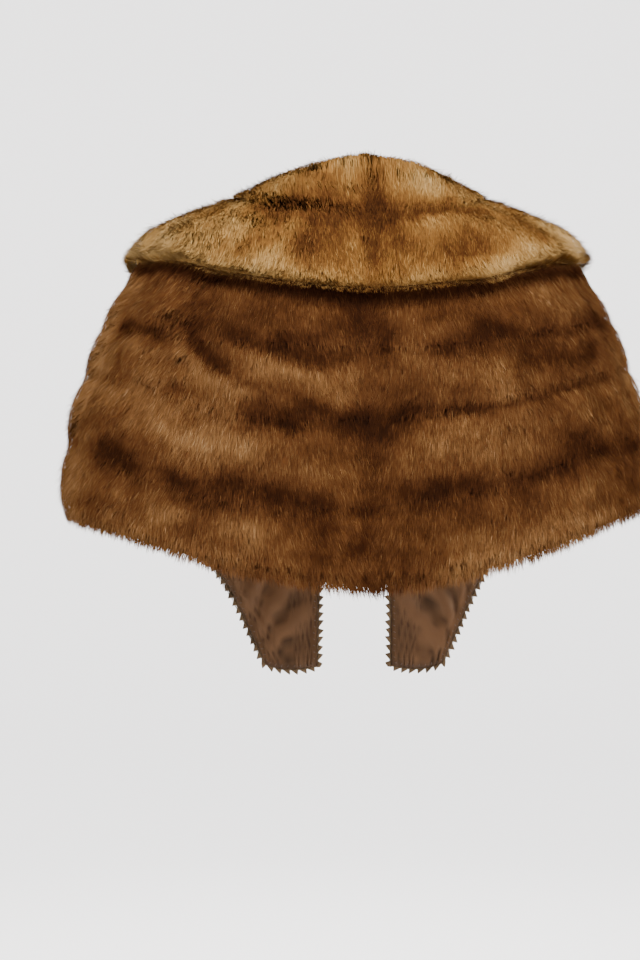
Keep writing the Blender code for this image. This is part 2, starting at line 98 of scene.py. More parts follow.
# The soft folds that the cape hangs in. Columns: side, u and share at the middle, half width in u,
# half length in share, lean in u for each share, and depth, which is below 0 for a ridge.
FOLDS = (
    (-1, 0.23, 0.50, 0.035, 0.22, -0.10, 0.0060), (-1, 0.33, 0.66, 0.035, 0.30, 0.08, -0.0050),
    (-1, 0.42, 0.62, 0.030, 0.34, 0.05, 0.0065), (-1, 0.10, 0.82, 0.040, 0.22, 0.05, 0.0040),
    (-1, 0.61, 0.70, 0.030, 0.40, 0.00, 0.0080), (-1, 0.72, 0.66, 0.032, 0.34, -0.06, 0.0060),
    (1, 0.43, 0.13, 0.050, 0.12, 0.00, -0.0040), (1, 0.20, 0.46, 0.032, 0.20, 0.12, 0.0055),
    (1, 0.31, 0.78, 0.040, 0.26, -0.05, 0.0050), (1, 0.40, 0.50, 0.030, 0.26, 0.04, 0.0060),
    (1, 0.12, 0.74, 0.040, 0.20, -0.06, -0.0040), (1, 0.58, 0.66, 0.030, 0.38, 0.04, 0.0075),
    (1, 0.70, 0.72, 0.032, 0.32, 0.05, 0.0065),
)


def smooth_step(value):
    part = np.clip(value, 0.0, 1.0)
    return part * part * (3 - 2 * part)


def unit(vectors):
    return vectors / np.maximum(np.linalg.norm(vectors, axis=-1, keepdims=True), 1e-12)


def through(knots, rows, at):
    """Reads a smooth curve through the rows, one row for each knot, at each value of at."""
    knots = np.asarray(knots, float)
    slopes = np.gradient(rows, knots, axis=0)
    first = np.clip(np.searchsorted(knots, at, side="right") - 1, 0, len(knots) - 2)
    width = knots[first + 1] - knots[first]
    part = (at - knots[first]) / width
    own = np.arange(len(at)) % rows.shape[1]
    spread = (slice(None),) + (None,) * (rows.ndim - 2)
    width, part = width[spread], part[spread]
    start, end = rows[first, own], rows[first + 1, own]
    leave, arrive = slopes[first, own] * width, slopes[first + 1, own] * width
    square, cube = part ** 2, part ** 3
    return ((2 * cube - 3 * square + 1) * start + (cube - 2 * square + part) * leave
            + (3 * square - 2 * cube) * end + (cube - square) * arrive)


def column(table, index, u):
    rows = np.array([row[index] for row in table])[:, None, None]
    return through([row[0] for row in table], rows, u)[:, 0]


def plain_cloth(u, share):
    knots = np.array([-STATIONS[1][0]] + [row[0] for row in STATIONS])
    points = np.array([row[1:] for row in STATIONS])
    points = np.concatenate([(points[1] * (-1, 1, 1))[None], points])
    down = np.repeat(points.transpose(1, 0, 2)[:, None], len(u), axis=1)
    lines = through(SHARES, down, np.clip(share, 0.0, 1.0)).transpose(1, 0, 2)
    return through(knots, lines, u)


def fold_depth(side, u, share):
    depth = np.zeros(len(u))
    for fold_side, middle, level, half_width, half_length, lean, deep in FOLDS:
        if fold_side == side:
            along = (share - level) / half_length
            across = (u - middle - lean * (share - level)) / half_width
            depth += deep * np.exp(-across ** 2) * np.exp(-along ** 4)
    return depth


def cloth(side, u, share):
    """The leather's outer face, its outward normal and the direction towards the hem."""
    step = 0.004
    u, share = np.broadcast_arrays(np.asarray(u, float), np.asarray(share, float))
    shape = u.shape
    u, share = u.ravel(), share.ravel()
    low = np.clip(share, 0.0, 1.0 - step)
    round_way = plain_cloth(u + step, low) - plain_cloth(u - step, low)
    down_way = plain_cloth(u, low + step) - plain_cloth(u, low)
    normal = unit(np.cross(down_way, round_way))
    beyond = (share - np.clip(share, 0.0, 1.0))[:, None] * down_way / step
    folded = normal * fold_depth(side, u, np.clip(share, 0.0, 1.0))[:, None]
    mirror = np.array((side, 1, 1))
    point = (plain_cloth(u, share) + beyond - folded) * mirror
    point[:, 0] += FRONT_SHIFT * smooth_step((u - SHIFT_FROM) / SHIFT_OVER)
    point[:, 2] += HEM_LIFT[side] * np.clip(share, 0, 1) ** 2 * np.sin(np.pi * np.clip(u, 0, 1))
    found = (point, normal * mirror, unit(down_way) * mirror)
    return tuple(item.reshape(shape + (3,)) for item in found)


def length_down(u):
    """How long the cape is at u from its upper edge to its lower one."""
    lines = np.array([plain_cloth(u, np.full(len(u), share)) for share in np.linspace(0.0, 1.0, 9)])
    return np.linalg.norm(np.diff(lines, axis=0), axis=2).sum(axis=0)


def collar_edge(u):
    edge = column(COLLAR, 4, np.minimum(u, COLLAR_END))
    return edge * (1.0 - smooth_step((u - COLLAR_END) / 0.03))


def fur_depth(u, share):
    """Flat under the collar, full below it and thinner at the ends of the tabs."""
    free = smooth_step((share - collar_edge(u) - PRESSED_BELOW) / PRESSED_TO_FULL)
    depth = COVERED_DEPTH + (FUR_DEPTH - COVERED_DEPTH) * free
    return depth * (1.0 - TAB_THINNED * smooth_step((u - TAB_THINS) / TAB_THINS_OVER))


def row_edges(side, row, u):
    half_gap = SEAM_GAP / 2 / length_down(u)
    seams = ROW_SEAMS[side]
    top = np.zeros(len(u)) if row == 1 else column(seams, row - 1, u) + half_gap
    bottom = np.ones(len(u)) if row == 5 else column(seams, row, u) - half_gap
    return top, bottom


def lumps(points, size, shift=0.0):
    """A soft random field from about -1 to 1 with lumps of this size, read at the points."""
    flat = (points.reshape(-1, 3) / size + shift).tolist()
    return np.array([noise.noise(place) for place in flat]).reshape(points.shape[:-1])


def calmed(field, passes):
    """Evens out a grid of directions round the cape, so that deep fur doesn't cross itself in a fold."""
    field = field.copy()
    for _ in range(passes):
        field[1:-1] = 0.25 * field[:-2] + 0.5 * field[1:-1] + 0.25 * field[2:]
    return unit(field)


NORMAL_PASSES, FACE_PASSES = 30, 3


class Fur:
    """A strip of fur on a grid of places: columns round the cape, rows down the strip."""

    def __init__(self, leather, normal, height, under):
        normal = calmed(normal, NORMAL_PASSES)
        self.leather, self.normal, self.height, self.under = leather, normal, height, under
        self.across = np.gradient(leather, axis=0)
        self.along = np.gradient(leather, axis=1)
        top = leather + normal * height[..., None]
        face = unit(np.cross(np.gradient(top, axis=0), np.gradient(top, axis=1)))
        self.face = calmed(face * np.sign((face * normal).sum(-1, keepdims=True)), FACE_PASSES)

    def face_out(self, part):
        """Turns the fur's face outwards where it rounds off or dips, so that it isn't dull there."""
        part = 0.75 * part[..., None]
        self.face = unit(self.face * (1.0 - part) + self.normal * part)

    def read(self, values, column_at, row_at):
        """Reads a grid of values between its places."""
        columns, rows = values.shape[:2]
        column_at = np.clip(column_at, 0, columns - 1.001)
        row_at = np.clip(row_at, 0, rows - 1.001)
        i, j = column_at.astype(int), row_at.astype(int)
        p, q = column_at - i, row_at - j
        if values.ndim == 3:
            p, q = p[:, None], q[:, None]
        return ((values[i, j] * (1 - p) + values[i + 1, j] * p) * (1 - q)
                + (values[i, j + 1] * (1 - p) + values[i + 1, j + 1] * p) * q)

    def steps(self, column_at, row_at, move):
        """How many columns and rows a move of this size and direction in the leather covers."""
        a, b = self.read(self.across, column_at, row_at), self.read(self.along, column_at, row_at)
        aa, ab, bb = (a * a).sum(1), (a * b).sum(1), (b * b).sum(1)
        ma, mb = (a * move).sum(1), (b * move).sum(1)
        whole = aa * bb - ab * ab
        return (ma * bb - mb * ab) / whole, (mb * aa - ma * ab) / whole


HAIR_WIDTH = 0.00066
HAIR_REACH = 0.0105
HAIR_DENSITY = 74e4
HAIRS_A_TUFT = 5
TUFT_SPREAD = 0.0013
TUFT_TIGHT = 0.85
ROOT_HEIGHT = 0.80
GUARD_SHARE, UPRIGHT_SHARE = 0.18, 0.20
STRAY_LEAST, STRAY_MEAN, STRAY_MOST = 0.03, 0.12, 0.50
MIDDLE_TONE, TONE_SPAN = 0.5, 0.44


def add_hair(name, fur, nap, tone, where, reach, finish, seed):
    """Tapered blades that rise from the underfur and lie along the nap, in tufts that share a shade.

    Some are long guard hairs and some stand more upright, and a few of both stray out of the fur.
    """
    draw = np.random.RandomState(seed)
    area = np.linalg.norm(np.cross(fur.across, fur.along), axis=-1) * where
    cells = area[:-1, :-1].ravel()
    tufts = int(cells.sum() * HAIR_DENSITY / HAIRS_A_TUFT)
    cell = draw.choice(len(cells), tufts, p=cells / cells.sum())
    column_at = cell // (area.shape[1] - 1) + draw.rand(tufts)
    row_at = cell % (area.shape[1] - 1) + draw.rand(tufts)
    own = np.repeat(np.arange(tufts), HAIRS_A_TUFT)
    count = len(own)
    tuft_tone = draw.normal(0, 0.032, tufts)
    tuft_turn = draw.normal(0, 0.08, tufts)
    tuft_rise = draw.normal(0, 0.03, tufts)
    tuft_face = draw.normal(0, 0.06, (tufts, 3))
    off = draw.normal(0, TUFT_SPREAD, (count, 3))
    centre_column, centre_row = column_at[own], row_at[own]
    off_column, off_row = fur.steps(centre_column, centre_row, off)
    root = centre_column + off_column, centre_row + off_row
    kind = draw.rand(count)
    guard, upright = kind < GUARD_SHARE, kind > 1.0 - UPRIGHT_SHARE
    loose = 1.0 - fur.read(fur.under, *root) / fur.under.max()
    way = fur.read(nap, *root)
    normal = fur.read(fur.normal, *root)
    turn = tuft_turn[own] + draw.normal(0, 0.10, count)
    way = unit(way * np.cos(turn)[:, None] + np.cross(normal, way) * np.sin(turn)[:, None])
    far = fur.read(reach, *root) * draw.uniform(0.80, 1.15, count)
    far *= np.where(guard, 1.12, 1.0) * np.where(upright, 0.55, 1.0)
    far *= 1.0 + loose * draw.uniform(-0.30, 0.15, count)
    move_column, move_row = fur.steps(*root, way * far[:, None])
    tip = (centre_column + off_column * TUFT_TIGHT + move_column,
           centre_row + off_row * TUFT_TIGHT + move_row)
    middle = (root[0] * 0.5 + tip[0] * 0.5, root[1] * 0.5 + tip[1] * 0.5)
    stray = STRAY_LEAST + np.minimum(draw.exponential(STRAY_MEAN, count), STRAY_MOST)
    stray = np.where(guard | upright, stray, 0.0)
    lift = 1.0 + tuft_rise[own] + draw.normal(0, 0.03, count) + stray

    def at(place, level):
        high = fur.read(fur.height, *place) * level
        return fur.read(fur.leather, *place) + fur.read(fur.normal, *place) * high[:, None]

    under = fur.read(fur.under, *root)
    start, bend, end = at(root, under), at(middle, 0.45 * under + 0.58 * lift), at(tip, lift)
    run = unit(end - start)
    twist = (draw.uniform(-0.35, 0.35, count) * np.where(guard, 1.9, 1.0))[:, None]
    face = fur.read(fur.face, *tip)
    wide = unit(np.cross(run, face)) * np.cos(twist) + face * np.sin(twist)
    thin = (np.where(guard, 0.78, 1.0) * np.where(upright, 0.75, 1.0) * (1.0 - 0.25 * loose)
            * (1.0 - 0.9 * stray))
    wide = wide * (HAIR_WIDTH / 2 * draw.uniform(0.7, 1.2, count) * thin)[:, None]
    points = np.stack([start, bend - wide, bend + wide, end], axis=1)
    shine = unit(face + tuft_face[own] + draw.normal(0, 0.05, (count, 3)))
    centre = fur.read(fur.leather, column_at, row_at)
    streaks = 0.07 * lumps(centre * (1.0, 1.0, 0.35), 0.005, seed) + 0.06 * lumps(centre, 0.012, seed)
    shade = MIDDLE_TONE + TONE_SPAN * np.tanh((fur.read(tone, *tip) - MIDDLE_TONE) / TONE_SPAN)
    shade += (tuft_tone + streaks)[own] + draw.normal(0, 0.055, count)
    shade += np.where(guard, draw.normal(0.02, 0.10, count), 0.0) - np.where(upright, 0.06, 0.0)
    return add_blades(name, points, shine, np.clip(shade, 0.03, 0.97), finish)


def add_blades(name, points, shine, shade, finish):
    """Each blade is two triangles. Its map holds its shade across and its length upwards."""
    count = len(points)
    turned = np.cross(points[:, 1] - points[:, 0], points[:, 3] - points[:, 0])
    flip = np.einsum("ij,ij->i", turned, shine) > 0
    points[flip] = points[flip][:, (0, 2, 1, 3)]
    mesh = bpy.data.meshes.new(name)
    mesh.vertices.add(4 * count)
    mesh.vertices.foreach_set("co", points.ravel())
    mesh.loops.add(6 * count)
    loops = (np.arange(count)[:, None] * 4 + np.array((0, 2, 1, 1, 2, 3))).ravel()
    mesh.loops.foreach_set("vertex_index", loops)
    mesh.polygons.add(2 * count)
    mesh.polygons.foreach_set("loop_start", np.arange(2 * count) * 3)
    mesh.polygons.foreach_set("loop_total", np.full(2 * count, 3))
    mesh.update(calc_edges=True)
    sideways, upwards = np.array((0.0, -0.012, 0.012, 0.0)), np.array((0.0, 0.5, 0.5, 1.0))
    places = np.stack([np.broadcast_to(shade[:, None] + sideways, (count, 4)),
                       np.broadcast_to(upwards, (count, 4))], axis=2).reshape(-1, 2)[loops]
    for word in ("hair", "OFBake"):
        layer = mesh.uv_layers.new(name=word)
        layer.data.foreach_set("uv", places.ravel())
    mesh.uv_layers.active = mesh.uv_layers["hair"]
    mesh.uv_layers["hair"].active_render = True
    mesh.shade_smooth()
    mesh.normals_split_custom_set_from_vertices(np.repeat(shine, 4, axis=0).tolist())
    mesh.materials.append(finish)
    hair = bpy.data.objects.new(name, mesh)
    bpy.context.scene.collection.objects.link(hair)
    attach(hair, "root")
    return hair


def hair_finish(name, colours, root_shade):
    """Colour by shade, from dark to pale, and darker towards the root."""
    finish = bpy.data.materials.new(name)
    finish.use_nodes = True
    tree = finish.node_tree
    shader = tree.nodes["Principled BSDF"]
    shader.inputs["Roughness"].default_value = 0.9
    shader.inputs["Specular IOR Level"].default_value = 0.0
    place = tree.nodes.new("ShaderNodeUVMap")
    place.uv_map = "hair"
    parts = tree.nodes.new("ShaderNodeSeparateXYZ")
    tree.links.new(place.outputs["UV"], parts.inputs["Vector"])
    shades = tree.nodes.new("ShaderNodeValToRGB")
    while len(shades.color_ramp.elements) < len(colours):
        shades.color_ramp.elements.new(0.5)
    for stop, (at, colour) in zip(shades.color_ramp.elements, colours):
        stop.position = at
        stop.color = colour + (1.0,)
    tree.links.new(parts.outputs["X"], shades.inputs["Fac"])
    depths = tree.nodes.new("ShaderNodeValToRGB")
    depths.color_ramp.elements[0].position = 0.05
    depths.color_ramp.elements[0].color = (root_shade,) * 3 + (1.0,)
    depths.color_ramp.elements[1].position = 0.80
    tree.links.new(parts.outputs["Y"], depths.inputs["Fac"])
    mix = tree.nodes.new("ShaderNodeMix")
    mix.data_type, mix.blend_type = "RGBA", "MULTIPLY"
    mix.inputs["Factor"].default_value = 1.0
    tree.links.new(shades.outputs["Color"], mix.inputs["A"])
    tree.links.new(depths.outputs["Color"], mix.inputs["B"])
    tree.links.new(mix.outputs["Result"], shader.inputs["Base Color"])
    return finish


def skin_faces(columns, rows):
    """The faces of a closed skin between two grids of points, the second after the first."""
    index = np.arange(columns * rows).reshape(columns, rows)
    quads = np.stack([index[:-1, :-1], index[1:, :-1], index[1:, 1:], index[:-1, 1:]], axis=-1)
    quads = quads.reshape(-1, 4)
    rim = np.concatenate([index[:, 0], index[-1, 1:], index[-2::-1, -1], index[0, -2:0:-1]])
    after = np.roll(rim, -1)
    size = columns * rows
    walls = np.stack([rim, after, after + size, rim + size], axis=1)
    return np.concatenate([quads, quads[:, ::-1] + size, walls])


def add_skin(name, points, faces, finish, node):
    """A piece with its faces turned outwards, which stands for a node."""
    mesh = bpy.data.meshes.new(name)
    mesh.from_pydata(points, [], faces)
    work = bmesh.new()
    work.from_mesh(mesh)
    bmesh.ops.recalc_face_normals(work, faces=work.faces)
    work.to_mesh(mesh)
    work.free()
    mesh.shade_smooth()
    mesh.materials.append(finish)
    skin = bpy.data.objects.new(name, mesh)
    bpy.context.scene.collection.objects.link(skin)
    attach(skin, "root")
    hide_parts(node)
    return skin


def add_shell(name, outside, inside, finish, node):
    """A thin closed skin between two grids of points, one on each side."""
    points = np.concatenate([outside.reshape(-1, 3), inside.reshape(-1, 3)])
    faces = skin_faces(*outside.shape[:2])
    return add_skin(name, points.tolist(), faces.tolist(), finish, node)


def map_skin(skin, word, values):
    """Gives a skin a map of this name from its points' own places in it."""
    corners = np.empty(len(skin.data.loops), int)
    skin.data.loops.foreach_get("vertex_index", corners)
    skin.data.uv_layers.new(name=word).data.foreach_set("uv", values[corners].ravel())


def map_shell(skin, word, across, upwards):
    """Gives a shell a map of this name, with the same values on both of its faces."""
    map_skin(skin, word, np.stack([np.tile(across.ravel(), 2), np.tile(upwards.ravel(), 2)], axis=1))


def add_underfur(name, fur, tone, column_at, row_at, finish, node):
    """The dense underfur: a closed skin between the leather and the roots of the guard hair."""
    shape = column_at.shape
    place = column_at.ravel(), row_at.ravel()
    leather, normal = fur.read(fur.leather, *place), unit(fur.read(fur.normal, *place))
    top = leather + normal * fur.read(fur.height * fur.under, *place)[:, None]
    skin = add_shell(name, top.reshape(shape + (3,)), leather.reshape(shape + (3,)), finish, node)
    # Painted shade: the underfur is darker where it thins towards a free edge.
    edge_painted_shade = 0.12 * (1.0 - fur.read(fur.under, *place) / fur.under.max())
    map_shell(skin, "hair", fur.read(tone, *place) - 0.02 - edge_painted_shade, np.full(place[0].shape, 0.5))
    return skin


BODY_COLOURS = ((0.0, (0.0074, 0.0030, 0.0016)), (0.25, (0.0215, 0.0071, 0.0027)),
                (0.5, (0.0535, 0.0206, 0.0069)), (0.75, (0.1110, 0.0540, 0.0190)),
                (1.0, (0.2050, 0.1200, 0.0560)))
body_finish = hair_finish("brown_fur", BODY_COLOURS, 0.75)

# How the hair tips swing outwards, away from the centre back, in degrees. Columns: u, angle.
BODY_SWING = {
    -1: ((-0.02, -14), (0.05, -12), (0.14, -2), (0.26, 12), (0.40, 18), (0.52, 16), (0.70, 8), (1.0, 0)),
    1: ((-0.02, -10), (0.05, -9), (0.14, 0), (0.26, 4), (0.40, 8), (0.52, 10), (0.70, 6), (1.0, 0)),
}
# Creases and the dark and pale places of the pelts, each drawn as a soft line. The dark ones are
# partly darker fur and partly painted shade in the creases and folds, which they also sink; the pale
# ones are partly paler fur and partly painted light on the ridges of folds. Columns: how much paler,
# half width, and the line's places: u, which is below 0 on the left, and share of the way down.
BODY_MARKS = (
    (-0.34, 0.0060, ((-0.188, 0.47), (-0.16, 0.47), (-0.132, 0.48), (-0.108, 0.485), (-0.088, 0.495),
         (-0.056, 0.495), (-0.028, 0.48))),
    (-0.16, 0.0025, ((-0.112, 0.455), (-0.084, 0.445), (-0.06, 0.435))),
    (-0.30, 0.0060, ((-0.02, 0.34), (-0.02, 0.38))),
    (-0.34, 0.0050, ((-0.244, 0.51), (-0.22, 0.53), (-0.196, 0.55))),
    (-0.18, 0.0050, ((-0.196, 0.55), (-0.176, 0.56), (-0.16, 0.57), (-0.136, 0.575), (-0.104, 0.57))),
    (-0.34, 0.0035, ((-0.084, 0.585), (-0.072, 0.595), (-0.06, 0.61), (-0.04, 0.62), (-0.016, 0.63))),
    (-0.30, 0.0060, ((-0.14, 0.65), (-0.128, 0.65), (-0.116, 0.66), (-0.092, 0.655))),
    (-0.20, 0.0060, ((-0.092, 0.655), (-0.064, 0.645), (-0.036, 0.645), (-0.016, 0.645))),
    (-0.18, 0.0025, ((-0.124, 0.62), (-0.1, 0.625), (-0.08, 0.625))),
    (-0.30, 0.0045, ((-0.416, 0.56), (-0.34, 0.54), (-0.304, 0.535), (-0.288, 0.54))),
    (-0.18, 0.0040, ((-0.248, 0.645), (-0.228, 0.64))),
    (-0.18, 0.0050, ((-0.356, 0.61), (-0.336, 0.655))),
    (-0.34, 0.0080, ((-0.34, 0.835), (-0.316, 0.835), (-0.288, 0.855), (-0.252, 0.845),
         (-0.224, 0.85), (-0.204, 0.855), (-0.18, 0.845), (-0.16, 0.83), (-0.132, 0.82),
         (-0.104, 0.825))),
    (-0.14, 0.0080, ((-0.264, 0.45), (-0.24, 0.48))),
    (0.16, 0.0060, ((-0.26, 0.53), (-0.24, 0.55), (-0.22, 0.57), (-0.2, 0.59))),
    (0.16, 0.0080, ((-0.192, 0.505), (-0.152, 0.51), (-0.116, 0.525), (-0.084, 0.53))),
    (0.14, 0.0050, ((-0.192, 0.6), (-0.164, 0.6), (-0.136, 0.605))),
    (0.12, 0.0140, ((-0.256, 0.745), (-0.212, 0.74), (-0.176, 0.745), (-0.144, 0.74))),
    (0.10, 0.0060, ((-0.076, 0.55), (-0.028, 0.53))),
    (0.08, 0.0060, ((-0.344, 0.58), (-0.304, 0.59))),
    (-0.34, 0.0060, ((0.016, 0.435), (0.016, 0.46))),
    (-0.34, 0.0080, ((-0.016, 0.63), (0.008, 0.63), (0.02, 0.625))),
    (-0.24, 0.0080, ((0.0, 0.655), (0.012, 0.67))),
    (-0.26, 0.0030, ((0.02, 0.62), (0.052, 0.61), (0.072, 0.615), (0.096, 0.625), (0.112, 0.63),
         (0.14, 0.635), (0.164, 0.64), (0.204, 0.645), (0.248, 0.65), (0.308, 0.66), (0.344, 0.67))),
    (-0.28, 0.0090, ((0.096, 0.48), (0.128, 0.475), (0.152, 0.44))),
    (-0.22, 0.0050, ((0.156, 0.44), (0.196, 0.47), (0.224, 0.485), (0.264, 0.52), (0.328, 0.53),
         (0.432, 0.555))),
    (-0.16, 0.0060, ((0.196, 0.54), (0.244, 0.57), (0.288, 0.605), (0.332, 0.585))),
    (-0.28, 0.0070, ((0.384, 0.855), (0.332, 0.85), (0.272, 0.82), (0.24, 0.815), (0.212, 0.825),
         (0.172, 0.83), (0.152, 0.83), (0.12, 0.825), (0.092, 0.805), (0.064, 0.815))),
    (0.10, 0.0120, ((0.036, 0.725), (0.068, 0.715), (0.112, 0.725), (0.172, 0.72))),
    (0.10, 0.0080, ((0.04, 0.475), (0.068, 0.515), (0.112, 0.545), (0.164, 0.565))),
    (0.14, 0.0080, ((0.268, 0.73), (0.32, 0.785))),
    (0.14, 0.0070, ((0.356, 0.715), (0.372, 0.755))),
    (0.08, 0.0060, ((0.008, 0.58), (0.036, 0.6))),
    (-0.14, 0.0070, ((-0.016, 0.86), (-0.016, 0.94))),
    (-0.28, 0.0060, ((-0.60, 0.58), (-0.66, 0.62), (-0.74, 0.60))),
    (-0.24, 0.0070, ((-0.44, 0.84), (-0.56, 0.83), (-0.70, 0.85), (-0.80, 0.83))),
    (-0.22, 0.0060, ((-0.48, 0.68), (-0.56, 0.66), (-0.64, 0.70))),
    (0.12, 0.0100, ((-0.46, 0.76), (-0.56, 0.75), (-0.68, 0.77))),
    (-0.24, 0.0060, ((0.50, 0.54), (0.58, 0.56), (0.70, 0.53))),
    (-0.26, 0.0070, ((0.46, 0.84), (0.56, 0.82), (0.68, 0.84), (0.80, 0.82))),
    (-0.20, 0.0050, ((0.42, 0.67), (0.54, 0.66), (0.66, 0.69))),
    (0.12, 0.0100, ((0.48, 0.75), (0.58, 0.74), (0.72, 0.76))),
    (-0.16, 0.0060, ((-0.84, 0.30), (-0.90, 0.55), (-0.96, 0.60))),
    (-0.16, 0.0060, ((0.82, 0.50), (0.90, 0.30), (0.97, 0.45))),
    (0.14, 0.0090, ((-0.30, 0.92), (-0.20, 0.93), (-0.12, 0.92))),
    (-0.16, 0.0060, ((-0.05, 0.89), (-0.05, 0.96))),
    (-0.14, 0.0060, ((-0.27, 0.90), (-0.26, 0.96))),
    (0.12, 0.0090, ((0.10, 0.93), (0.20, 0.92), (0.30, 0.90))),
    (-0.14, 0.0060, ((0.33, 0.76), (0.36, 0.82))),
    (-0.12, 0.0160, ((-0.24, 0.41), (-0.12, 0.39), (0.00, 0.39), (0.08, 0.40))),
    (-0.24, 0.0075, ((-0.10, 0.83), (-0.04, 0.84), (0.00, 0.84), (0.06, 0.815))),
    (-0.07, 0.0180, ((0.00, 0.68), (0.00, 0.96))),
    (-0.06, 0.0160, ((0.05, 0.90), (0.24, 0.88))),
    (-0.06, 0.0160, ((-0.05, 0.90), (-0.18, 0.90))),
    (0.07, 0.0200, ((-0.30, 0.73), (-0.14, 0.74))),
    (0.09, 0.0140, ((-0.38, 0.92), (-0.26, 0.94))),
)


def marked(marks, u, level, round_length, down_length):
    """Adds up the marks at places in u and level, and how deeply they crease the fur."""
    total, crease = np.zeros(u.shape), np.zeros(u.shape)
    across, down = u * round_length, level * down_length
    for paler, half_width, line in marks:
        near = np.full(u.shape, 9.0)
        for (u0, level0), (u1, level1) in zip(line, line[1:]):
            x, y = u0 * round_length, level0 * down_length
            run, fall = (u1 - u0) * round_length, (level1 - level0) * down_length
            part = np.clip(((across - x) * run + (down - y) * fall) / (run ** 2 + fall ** 2), 0, 1)
            near = np.minimum(near, np.hypot(across - x - run * part, down - y - fall * part))
        sharp, soft = np.exp(-(near / half_width) ** 2), np.exp(-(near / half_width / 2.3) ** 2)
        total += paler * (0.6 * sharp + 0.5 * soft)
        crease += max(-paler, 0.0) * (0.4 * sharp + 0.6 * soft)
    return total, np.clip(1.0 - 0.6 * crease, 0.70, 1.0)


# How high the fur stands across a row. Columns: t, the share of the row's width, and height.
RISE = ((-0.05, 0.60), (0.0, 0.62), (0.14, 0.84), (0.40, 1.0), (0.72, 1.0))
ROW_HEIGHTS = RISE + ((0.94, 0.96), (1.2, 0.86))
HEM_HEIGHTS = RISE + ((0.95, 0.86), (1.2, 0.26), (1.3, 0.10))
# Each strip as it is cut, flat: greatest width, length and area.
BODY_CUTS = {
    1: ((0.121, 0.768, 0.0493), (0.110, 0.806, 0.0584), (0.070, 0.801, 0.0352), (0.085, 0.785, 0.0412),
        (0.073, 0.767, 0.0399)),
    -1: ((0.120, 0.774, 0.0501), (0.118, 0.813, 0.0620), (0.074, 0.808, 0.0370), (0.087, 0.793, 0.0441),
         (0.074, 0.773, 0.0376)),
}
ROUND_PLACES, DOWN_PLACES = 230, 34
GRID_START = -0.02
ROW_GRID_END, HEM_GRID_END = 1.2, 1.3
SKIN_COLUMNS, ROW_SKIN_ROWS = 84, 16
BODY_ROUND, BODY_DOWN = 0.72, 0.39
HEM = 5


def nap_way(normal, down, outward, swing):
    """The way that the hair points: downwards, swung outwards by this angle."""
    fall = np.array((0.0, 0.0, -1.0)) * 0.6 + down * 0.4
    fall = unit(fall - normal * (fall * normal).sum(-1, keepdims=True))
    side_way = unit(outward - fall * (outward * fall).sum(-1, keepdims=True))
    angle = np.radians(swing)[..., None]
    return fall * np.cos(angle) + side_way * np.sin(angle)


